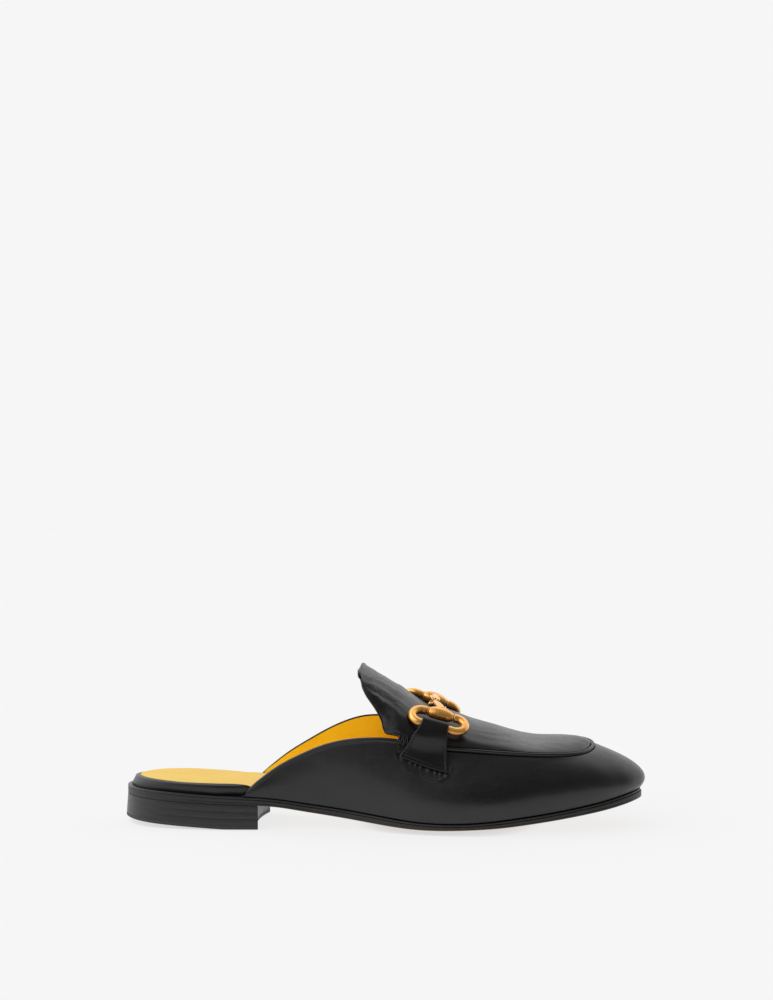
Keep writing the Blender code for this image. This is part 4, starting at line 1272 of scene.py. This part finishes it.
def make_arm(side, side_name, finish):
    """Half of the bit's mouthpiece: a barrel bored for the ring, a tapering arm, and an eye at its end."""
    middle, forward, upward, outward = bit_frame(side)
    axis = middle + upward * RING_BAR_SPACING / 2 + forward * trim(side, "slide")
    bore = RING_PIN / 2 + BARREL_PLAY
    points, faces = lathe(axis, forward, upward, barrel_outline(bore), BARREL_SIDES)
    arm = new_piece(f"arm_{side_name}", points, faces, finish, node=f"bit_arm_{side_name}", slot="brass")

    joint_x = (trim(-1, "bit_x") + trim(1, "bit_x")) / 2
    joint_row = np.interp(joint_x, wall_table["top"], arch_row)
    crest, ahead = arch_point(np.array([joint_row, joint_row + 0.2]), 0.5)
    crest_way = unit(ahead - crest)
    crest_square = unit(np.cross(crest_way, [0, 1, 0]))
    joint = crest + crest_square * (EYE_RADIUS * math.sqrt(0.5) + EYE_WIRE / 2 + 2 * WIRE_GAP)
    eye_shift = EYE_RADIUS - (EYE_WIRE + WIRE_GAP) / 2
    eye = joint + np.array([0, side * eye_shift, 0])
    heading = unit((axis - joint) * [1, 1, 0])
    root = math.radians(trim(side, "arm_lean"))
    root_way = upward * math.cos(root) + outward * math.sin(root)
    start = axis + root_way * (bore + WIRE_GAP)
    rise = start + root_way * ARM_ROOT_RISE
    finish_point = eye + heading * EYE_RADIUS
    bend = finish_point + heading * (ARM_BEND * abs(axis[1] - finish_point[1]))
    shares = np.linspace(0, 1, ARM_STEPS)
    path = bezier(start, rise, bend, finish_point, shares)
    radii = (ARM_DIAMETER + (ARM_NECK - ARM_DIAMETER) * shares ** 0.8) / 2
    radii += COLLAR_HEIGHT * swell(shares, COLLAR_PLACE, COLLAR_WIDTH)
    bar = new_solid("bar", *tube(path, radii, forward, ARM_SIDES))
    flat_way = unit(crest_way - side * crest_square)
    round_way = 2 * math.pi * np.arange(EYE_STEPS) / EYE_STEPS
    loop = [eye + (heading * math.cos(turn) + flat_way * math.sin(turn)) * EYE_RADIUS for turn in round_way]
    eye_axis = np.cross(heading, flat_way)
    eye_ring = new_solid("eye", *tube(loop, EYE_WIRE / 2, eye_axis, EYE_SIDES, closed=True))
    for other in (bar, eye_ring):
        union(arm, other)
    arm.data.shade_smooth()
    arm.data.set_sharp_from_angle(angle=math.radians(40))


def union(piece, other):
    """Unite a piece with another solid, and remove the other."""
    boolean = piece.modifiers.new("join", "BOOLEAN")
    boolean.operation = "UNION"
    boolean.solver = "MANIFOLD"
    boolean.object = other
    depsgraph = bpy.context.evaluated_depsgraph_get()
    joined = bpy.data.meshes.new_from_object(piece.evaluated_get(depsgraph))
    piece.modifiers.clear()
    piece.data = joined
    bpy.data.objects.remove(other)


# ---- saddle tabs

def tab_sheet(side, columns=44, rows=96):
    """Middle sheet of a tab, from its tucked tail over the ring's lower bar down to its stitched end."""
    middle, forward, upward, outward = bit_frame(side)
    bar = middle - upward * RING_BAR_SPACING / 2
    around_bar = RING_WIRE / 2 + TAB_BAR_GAP + TAB_THICKNESS / 2
    lying = TAB_SKIN_GAP + TAB_THICKNESS / 2
    start = trim(side, "bit_reach") - RING_BAR_SPACING / 2 - TAB_STANDOFF
    strap = table(STRAP)
    lines = []
    for share in np.linspace(0, 1, TAB_LINES):
        top_station, foot_station, drop = [
            (1 - share) * trim(side, f"{part}_back") + share * trim(side, f"{part}_front")
            for part in ("fold", "foot", "drop")]
        fold = bar + forward * (top_station - bar[0]) / forward[0]

        def lifted(spread, reach, height):
            station = top_station + (foot_station - top_station) * spread
            place, *_, out_way = skin_frame(side, station, reach)
            return place + out_way * height

        line = [lifted(0.25, TAB_TAIL_REACH, lying)]
        for turn in np.linspace(*TAB_FOLD, TAB_FOLD_STEPS):
            line.append(fold + (outward * math.sin(turn) + upward * math.cos(turn)) * around_bar)
        line += [lifted(spread, start - (drop + start) * way, lying + height)
                 for way, spread, height in zip(strap["way"], strap["spread"], strap["height"])]
        lines.append(line)
    return smooth_grid(np.array(lines).transpose(1, 0, 2), rows, columns)


def smooth_grid(coarse, rows, columns):
    """Finer grid through the points of a coarse one, evenly spaced along each way."""
    def refine(grid, count):
        gaps = np.linalg.norm(np.diff(grid, axis=0), axis=-1).mean(-1)
        knots = np.concatenate([[0.0], np.cumsum(gaps)])
        where = np.linspace(0, knots[-1], count)
        flat = grid.reshape(len(grid), -1)
        return np.stack([spline(knots, flat[:, k])(where) for k in range(flat.shape[1])], -1).reshape(
            count, *grid.shape[1:])

    by_rows = refine(coarse, rows)
    return refine(by_rows.transpose(1, 0, 2), columns).transpose(1, 0, 2)


def border_distance(grid):
    """Distances of each point of a grid from its nearest side, from its last row, and along its border."""
    down = reach_along(grid)
    over = reach_along(grid.swapaxes(0, 1)).T
    border = np.minimum.reduce([down, down[-1:] - down, over, over[:, -1:] - over])
    return border, down[-1:] - down, down + over


def make_tab(side, side_name, finish, thread):
    """Strap that is stitched to the wall, laps the seam, and folds over the ring's lower bar."""
    grid = tab_sheet(side)
    square = grid_normals(grid)
    outward = bit_frame(side)[3]
    square *= np.sign((square[-1].mean(0) * outward).sum())
    border, from_end, along = border_distance(grid)
    half = TAB_THICKNESS / 2
    round_off = np.sqrt(np.maximum(1 - (1 - np.clip(border / TAB_EDGE, 0.06, 1)) ** 2, 0))
    relief = 0.10 * wave(grid, 9.0, 20 + side) * smooth_step(border, 0.3, 3.0)
    sewn = smooth_step(from_end, *TAB_SEWN)
    gathers = np.cos(2 * math.pi * along / TAB_STITCH[0]) * swell(border, 0.9, 0.8)
    relief += sewn * (0.26 * gathers - 0.28 * swell(border, TAB_SEAM_INSET, 0.5))
    relief += 0.14 * smooth_step(border, 1.4, 0.5) * sewn
    high = grid + square * (half * round_off + relief)[..., None]
    low = grid - square * (half * round_off)[..., None]
    solid_between(f"tab_{side_name}", low, high, finish, node=f"saddle_tab_{side_name}")

    inset, below = (int(round(TAB_SEAM_INSET / (line_length(line) / (len(line) - 1))))
                    for line in (grid[-1], grid[:, 0]))

    def along_seam(values):
        down = values[-TAB_SEAM_START:-below, [inset, -inset - 1]]
        return np.concatenate([down[:, 0], values[-below - 1, inset + 1:-inset - 1], down[::-1, 1]])

    stitches(f"tab_stitches_{side_name}", [(along_seam(high), along_seam(square))], *TAB_STITCH, thread)


# ---- materials

EDGE_BLACK = (0.0030, 0.0030, 0.0036)


class Nodes:
    """Nodes of a material or a world: an input is a value or another node's output."""

    def __init__(self, owner):
        owner.use_nodes = True
        self.tree = owner.node_tree

    def put(self, value, socket):
        """Set a socket, or link an output to it; a colour is three numbers."""
        if isinstance(value, bpy.types.NodeSocket):
            self.tree.links.new(value, socket)
        else:
            socket.default_value = (*value, 1.0) if socket.type == "RGBA" else value

    def add(self, kind, inputs=None, **settings):
        node = self.tree.nodes.new("ShaderNode" + kind)
        for name, value in settings.items():
            setattr(node, name, value)
        for name, value in (inputs or {}).items():
            self.put(value, node.inputs[name])
        return node

    def math(self, operation, first, second):
        return self.add("Math", {0: first, 1: second}, operation=operation).outputs[0]

    def spread(self, value, low, high, start=0.3, end=0.7):
        """Map a value from start..end to low..high, and hold it there."""
        inputs = {"Value": value, "From Min": start, "From Max": end, "To Min": low, "To Max": high}
        return self.add("MapRange", inputs).outputs["Result"]

    def blend(self, share, first, second):
        """Colour between two."""
        inputs = {"Factor": share, 6: first, 7: second}
        return self.add("Mix", inputs, data_type="RGBA").outputs[2]

    def shelter(self, reach, samples):
        """1 in the open, and less in gaps narrower than a reach in metres."""
        return self.add("AmbientOcclusion", {"Distance": reach}, samples=samples).outputs["AO"]


class Finish(Nodes):
    """Principled material: its sockets are named with _ for a space, and sizes are in millimetres."""

    def __init__(self, name, colour, roughness, **sockets):
        self.material = bpy.data.materials.new(name)
        super().__init__(self.material)
        self.shade(Base_Color=colour, Roughness=roughness, **sockets)
        self.place = self.place_of((1, 1, 1))

    def shade(self, **sockets):
        shader = self.tree.nodes["Principled BSDF"]
        for name, value in sockets.items():
            self.put(value, shader.inputs[name.replace("_", " ")])

    def place_of(self, stretch):
        """Place on the object in metres, stretched along its axes."""
        where = self.add("TexCoord").outputs["Object"]
        return self.add("Mapping", {"Vector": where, "Scale": stretch}).outputs["Vector"]

    def noise(self, size, detail=3.0, rough=0.55, distortion=0.0, stretch=None):
        """Noise whose swells are about a size apart."""
        place = self.place_of(stretch) if stretch else self.place
        inputs = {"Vector": place, "Scale": 1 / (size * MM), "Detail": detail, "Roughness": rough,
                  "Distortion": distortion}
        return self.add("TexNoise", inputs).outputs["Fac"]

    def cells(self, size):
        inputs = {"Vector": self.place, "Scale": 1 / (size * MM)}
        return self.add("TexVoronoi", inputs).outputs["Distance"]

    def level_fibres(self):
        """Fibres of stacked leather, long and level."""
        return self.noise(0.9, 4.0, 0.6, stretch=(0.12, 0.12, 1))

    def upward_share(self):
        """How far the surface faces up: 1 on top, -1 underneath."""
        normal = self.add("NewGeometry").outputs["Normal"]
        return self.add("SeparateXYZ", {0: normal}).outputs["Z"]

    def between(self, cloud, first, second):
        """Colour that goes from one to another with a noise."""
        return self.blend(self.spread(cloud, 0, 1), first, second)

    def roughen(self, cloud, low, high, *span):
        """Roughness that goes from low to high with a noise."""
        self.shade(Roughness=self.spread(cloud, low, high, *span))

    def bumps(self, *layers):
        """Chain of bumps, each a height output, or a noise's size, and a depth."""
        normal = None
        for height, depth in layers:
            if not isinstance(height, bpy.types.NodeSocket):
                height = self.noise(height)
            inputs = {"Height": height, "Distance": depth * MM, "Strength": 1.0}
            if normal is not None:
                inputs["Normal"] = normal
            normal = self.add("Bump", inputs).outputs["Normal"]
        self.shade(Normal=normal)
        return self.material


def black_calf(name, tone=1.0, roughness=0.36, streaks=0.0, gloss=0.5):
    """Smooth black calf: fine pores, faint clouding, and a polish that varies a little."""
    dark = tuple(tone * part for part in (0.0022, 0.0022, 0.0026))
    light = tuple(tone * part for part in (0.0046, 0.0045, 0.0050))
    calf = Finish(name, dark, roughness, Specular_IOR_Level=gloss, Coat_Weight=0.2 * gloss,
                  Coat_Roughness=0.22)
    calf.shade(Base_Color=calf.between(calf.noise(14.0, 4.0), dark, light))
    brushed = calf.noise(2.4, 4.0, 0.65, stretch=(0.16, 1, 1))
    polish = calf.math("ADD", calf.noise(1.6), brushed)
    calf.roughen(polish, roughness - 0.05, roughness + 0.08, 0.7, 1.3)
    layers = [(calf.cells(0.42), 0.012), (calf.noise(0.22, 2.0), 0.010), (3.2, 0.05),
              (calf.noise(9.0, 2.0), 0.10)]
    if streaks:
        layers.append((brushed, streaks))
    return calf.bumps(*layers)


def yellow_calf(name, light, dark, gloss):
    """Natural yellow lining calf: two near tones in faint clouds, and pores; gloss is its specular level."""
    calf = Finish(name, light, 0.48, Specular_IOR_Level=gloss)
    colour = calf.between(calf.noise(22.0, 4.0), dark, light)
    speck = calf.spread(calf.noise(0.9, 2.0), 0, 0.25, 0.55, 0.8)
    calf.shade(Base_Color=calf.blend(speck, colour, tuple(0.85 * part for part in dark)))
    calf.roughen(calf.noise(2.0), 0.46, 0.60)
    return calf.bumps((calf.cells(0.55), 0.010), (0.3, 0.012), (5.0, 0.08))


def black_edge():
    """Waxed edge of stacked leather: black, with faint level fibres."""
    edge = Finish("black_edge", (0.006, 0.006, 0.007), 0.34, Coat_Weight=0.10, Coat_Roughness=0.3)
    fibres = edge.level_fibres()
    edge.shade(Base_Color=edge.between(fibres, EDGE_BLACK, (0.0085, 0.0078, 0.0085)))
    edge.roughen(edge.noise(1.8), 0.30, 0.44)
    return edge.bumps((fibres, 0.020), (0.35, 0.010), (6.0, 0.08))


def sole_leather():
    """Oak-bark sole leather: natural tan underneath, and a black stained edge."""
    sole = Finish("sole_leather", (0.012, 0.012, 0.014), 0.42)
    fibres = sole.level_fibres()
    edge = sole.between(fibres, EDGE_BLACK, (0.0090, 0.0080, 0.0085))
    tan = sole.between(sole.noise(3.0, 5.0, 0.65), (0.40, 0.235, 0.115), (0.52, 0.33, 0.175))
    station = sole.add("SeparateXYZ", {0: sole.place}).outputs["X"]
    ahead_of_heel = sole.spread(station, 0, 1, 0.012, 0.030)
    below = sole.spread(sole.upward_share(), 1, 0, -0.66, -0.46)
    bare = sole.math("MULTIPLY", ahead_of_heel, below)
    sole.shade(Base_Color=sole.blend(bare, edge, tan))
    sole.roughen(sole.noise(1.8), 0.38, 0.54)
    return sole.bumps((fibres, 0.03), (0.4, 0.015), (7.0, 0.06))


def heel_rubber():
    """Black rubber, a little greyed by wear."""
    rubber = Finish("heel_rubber", (0.014, 0.014, 0.015), 0.6)
    rubber.shade(Base_Color=rubber.between(rubber.noise(0.8), (0.012, 0.012, 0.013), (0.024, 0.024, 0.025)))
    rubber.roughen(rubber.noise(2.0), 0.5, 0.7)
    return rubber.bumps((0.5, 0.02), (4.0, 0.05))


def antique_brass():
    """Cast brass, polished and lightly clouded, with painted shade: brown underneath and where it is
    sheltered.
    """
    brass = Finish("antique_brass", (0.86, 0.46, 0.12), 0.28, Metallic=0.78, Coat_Weight=0.25, Coat_IOR=1.8,
                   Coat_Roughness=0.12)
    cloud = brass.noise(5.0, 3.0, 0.5, 0.3)
    bright = brass.between(brass.noise(9.0), (0.90, 0.41, 0.080), (1.0, 0.54, 0.135))
    worn = brass.blend(brass.spread(cloud, 0, 0.5, 0.5, 0.72), bright, (0.46, 0.19, 0.040))
    # painted shade: faces that turn downward are blended to dark brown
    upper_side = brass.spread(brass.upward_share(), 0, 1, -0.65, 0.35)
    worn_with_painted_underside_shade = brass.blend(upper_side, (0.28, 0.100, 0.022), worn)
    # painted shade: the brass turns near-black brown where other parts lie within 3 mm
    clear_of_painted_shade = brass.spread(brass.shelter(3.0 * MM, 16), 0, 1, 0.20, 0.80)
    brass.shade(Base_Color=brass.blend(clear_of_painted_shade, (0.14, 0.048, 0.012), worn_with_painted_underside_shade))
    brass.roughen(cloud, 0.17, 0.27)
    return brass.bumps((brass.noise(4.0, 1.0), 0.025))


def black_thread():
    """Waxed black thread."""
    thread = Finish("black_thread", (0.008, 0.008, 0.009), 0.5, Specular_IOR_Level=0.4)
    twist = thread.noise(0.4, 2.0)
    thread.shade(Base_Color=thread.between(twist, (0.003, 0.003, 0.0035), (0.011, 0.011, 0.012)))
    return thread.bumps((twist, 0.03))


def make_finishes():
    return {
        "leather": black_calf("black_calf"),
        "apron": black_calf("black_calf_apron", streaks=0.10),
        "tab": black_calf("black_calf_tab", tone=1.2, roughness=0.32, gloss=0.32),
        "lining": yellow_calf("yellow_calf", (0.91, 0.53, 0.008), (0.87, 0.475, 0.004), 0.2),
        # painted sheen: the lining's calf, given a paler, less saturated tone for its gloss at grazing angles
        "sock": yellow_calf("yellow_calf_sock_painted_sheen", (0.84, 0.55, 0.040), (0.80, 0.49, 0.025), 0.7),
        "edge": black_edge(),
        "sole": sole_leather(),
        "rubber": heel_rubber(),
        "brass": antique_brass(),
        "thread": black_thread(),
    }


# ---- stage, light and camera

PAPER = 0.9216               # tone of the pale floor and background
SHADOW_SHARE = 0.14          # share of the floor's light that a shadow can take away
PAINTED_SHADOW_REACH = 0.005        # painted contact shadow: the floor's glow grows darker in gaps narrower than this, in metres
FLOOR_DROP = 0.0002          # keeps the sheet clear of the tread, in metres

# Corners of the floor's sheet, in metres: its edges don't show, and the leather mirrors the dark beyond them.
FLOOR_OUTLINE = ((-1.5, -0.36), (0.06, -0.36), (0.25, -0.12), (0.28, 0.20), (0.28, 2.5), (-1.5, 2.5))

# Light of the studio by the depth of its direction, -1 towards the viewer and 1 behind the shoe.
STUDIO = """
depth light
-1.00  0.08
-0.75  0.12
-0.50  0.20
-0.20  0.24
 0.00  0.50
 0.25  1.16
 0.55  1.24
 1.00  1.00
"""
SOFTBOX_WAY = (-0.80, -0.30, 0.52)   # large soft lamp, high on the heel's side
SOFTBOX_LIGHT = 1.4
SOFTBOX_REACH = (50, 10)             # degrees from its middle where its light starts and is full
FILL_WAY = (-0.25, -0.90, 0.36)      # broad light from the viewer's side, seen in no gloss
FILL_LIGHT = 1.75
FILL_SIZE = 80                       # degrees across

CAMERA_LENS = 89.02                  # millimetres, on a sensor of this width
CAMERA_SENSOR = 36
CAMERA_TURN = 4                      # degrees towards the toe from square to the side
CAMERA_TILT = 2.57                   # degrees down
CAMERA_AIM_X = 0.075                 # station that it is turned about, its distance and its height, in metres
CAMERA_DISTANCE = 1.25
CAMERA_HEIGHT = 0.22


def studio_light(ways):
    """Light that comes from each direction."""
    studio = table(STUDIO)
    near = np.cos(np.radians(SOFTBOX_REACH))
    box = smooth_step(ways @ unit(np.array(SOFTBOX_WAY)), *near)
    return np.interp(ways[:, 1], studio["depth"], studio["light"]) + SOFTBOX_LIGHT * box


def light_on_floor():
    """Light that falls on open floor, as the tone that it gives to a white one."""
    height, turn = np.meshgrid(np.linspace(0.005, 0.995, 100), np.linspace(0, 2 * np.pi, 180, endpoint=False))
    level = np.sqrt(1 - height ** 2)
    ways = np.stack([level * np.cos(turn), level * np.sin(turn), height], axis=-1).reshape(-1, 3)
    sky = (studio_light(ways) * 2 * ways[:, 2]).mean()
    return sky + FILL_LIGHT * unit(np.array(FILL_WAY))[2] / math.pi


def make_floor():
    """Pale sheet, mostly glowing, so that it takes only a faint shadow, with a painted contact shadow in its
    glow close to the shoe; its front corner is cut off.
    """
    mesh = bpy.data.meshes.new("floor")
    mesh.from_pydata([(x, y, 0) for x, y in FLOOR_OUTLINE], [], [range(len(FLOOR_OUTLINE))])
    floor = bpy.data.objects.new("floor", mesh)
    floor.location.z = -FLOOR_DROP
    bpy.context.scene.collection.objects.link(floor)
    finish = bpy.data.materials.new("pale_floor")
    mesh.materials.append(finish)
    paper = Nodes(finish)
    paper.tree.nodes.clear()
    # painted contact shadow: the glow falls to 80 % in narrow gaps under the shoe
    tone = paper.spread(paper.shelter(PAINTED_SHADOW_REACH, 8), 0.80, 1, 0.10, 0.58)
    glow_with_painted_shadow = paper.blend(tone, (0, 0, 0), [PAPER] * 3)
    paint = paper.add("BsdfDiffuse", {"Color": [SHADOW_SHARE * PAPER / light_on_floor()] * 3})
    shine = paper.add("Emission", {"Color": glow_with_painted_shadow, "Strength": 1 - SHADOW_SHARE})
    both = paper.add("AddShader", {0: paint.outputs[0], 1: shine.outputs[0]})
    paper.add("OutputMaterial", {"Surface": both.outputs[0]})


def make_world():
    """Even background; its light is dark on the viewer's side and pale behind the shoe, with a soft lamp."""
    world = bpy.data.worlds.new("studio")
    bpy.context.scene.world = world
    sky = Nodes(world)
    where = sky.add("TexCoord").outputs["Generated"]
    depth = sky.spread(sky.add("SeparateXYZ", {0: where}).outputs["Y"], 0, 1, -1, 1)
    ramp = sky.add("ValToRGB", {"Fac": depth})
    stops = ramp.color_ramp.elements
    studio = table(STUDIO)
    strongest = studio["light"].max()
    for place, light in zip((studio["depth"] + 1) / 2, studio["light"] / strongest):
        stop = stops[0] if place == 0 else stops[len(stops) - 1] if place == 1 else stops.new(place)
        stop.color = (light, light, light, 1)
    walls = sky.add("Background", {"Color": ramp.outputs["Color"], "Strength": strongest})
    lamp_way = {0: where, 1: unit(np.array(SOFTBOX_WAY))}
    towards = sky.add("VectorMath", lamp_way, operation="DOT_PRODUCT").outputs["Value"]
    start, full = np.cos(np.radians(SOFTBOX_REACH))
    span = {"Value": towards, "From Min": start, "From Max": full, "To Max": SOFTBOX_LIGHT}
    box = sky.add("MapRange", span, interpolation_type="SMOOTHSTEP")
    lamp = sky.add("Background", {"Color": (1, 1, 1), "Strength": box.outputs["Result"]})
    both = sky.add("AddShader", {0: walls.outputs[0], 1: lamp.outputs[0]})
    backdrop = sky.add("Background", {"Color": [PAPER] * 3})
    rays = sky.add("LightPath").outputs["Is Camera Ray"]
    mix = sky.add("MixShader", {0: rays, 1: both.outputs[0], 2: backdrop.outputs[0]})
    sky.put(mix.outputs[0], sky.tree.nodes["World Output"].inputs["Surface"])


def make_fill():
    """Broad light from the viewer's side, for the lining: it gives no highlights."""
    lamp = bpy.data.lights.new("fill", "SUN")
    lamp.energy = FILL_LIGHT
    lamp.angle = math.radians(FILL_SIZE)
    fill = bpy.data.objects.new("fill", lamp)
    fill.rotation_euler = Vector(FILL_WAY).to_track_quat("Z", "Y").to_euler()
    fill.visible_glossy = False
    bpy.context.scene.collection.objects.link(fill)


def make_camera():
    """Camera a little above the shoe, nearly square to its lateral side and slightly from the front."""
    camera = bpy.data.cameras.new("camera")
    camera.lens = CAMERA_LENS
    camera.sensor_width = CAMERA_SENSOR
    camera.clip_start = 0.05
    view = bpy.data.objects.new("camera", camera)
    turn = math.radians(CAMERA_TURN)
    view.location = (CAMERA_AIM_X + CAMERA_DISTANCE * math.sin(turn), -CAMERA_DISTANCE * math.cos(turn),
                     CAMERA_HEIGHT)
    view.rotation_euler = (math.radians(90 - CAMERA_TILT), 0, turn)
    bpy.context.scene.collection.objects.link(view)
    bpy.context.scene.camera = view


# ---- the scene

def make_bit_and_tabs(finishes):
    for side, side_name in ((-1, "lateral"), (1, "medial")):
        make_ring(side, side_name, finishes["brass"])
        make_arm(side, side_name, finishes["brass"])
        make_tab(side, side_name, finishes["tab"], finishes["thread"])
        throat_tack(side, side_name, finishes["thread"])


finishes = make_finishes()
make_bottom(finishes)
make_heel(finishes)
make_upper_leather(finishes["leather"], finishes["lining"], finishes["thread"])
make_apron(finishes["apron"], finishes["lining"])
make_apron_seam(finishes["leather"])
make_bit_and_tabs(finishes)

make_floor()
make_world()
make_fill()
make_camera()
bpy.context.scene.view_settings.view_transform = "Standard"
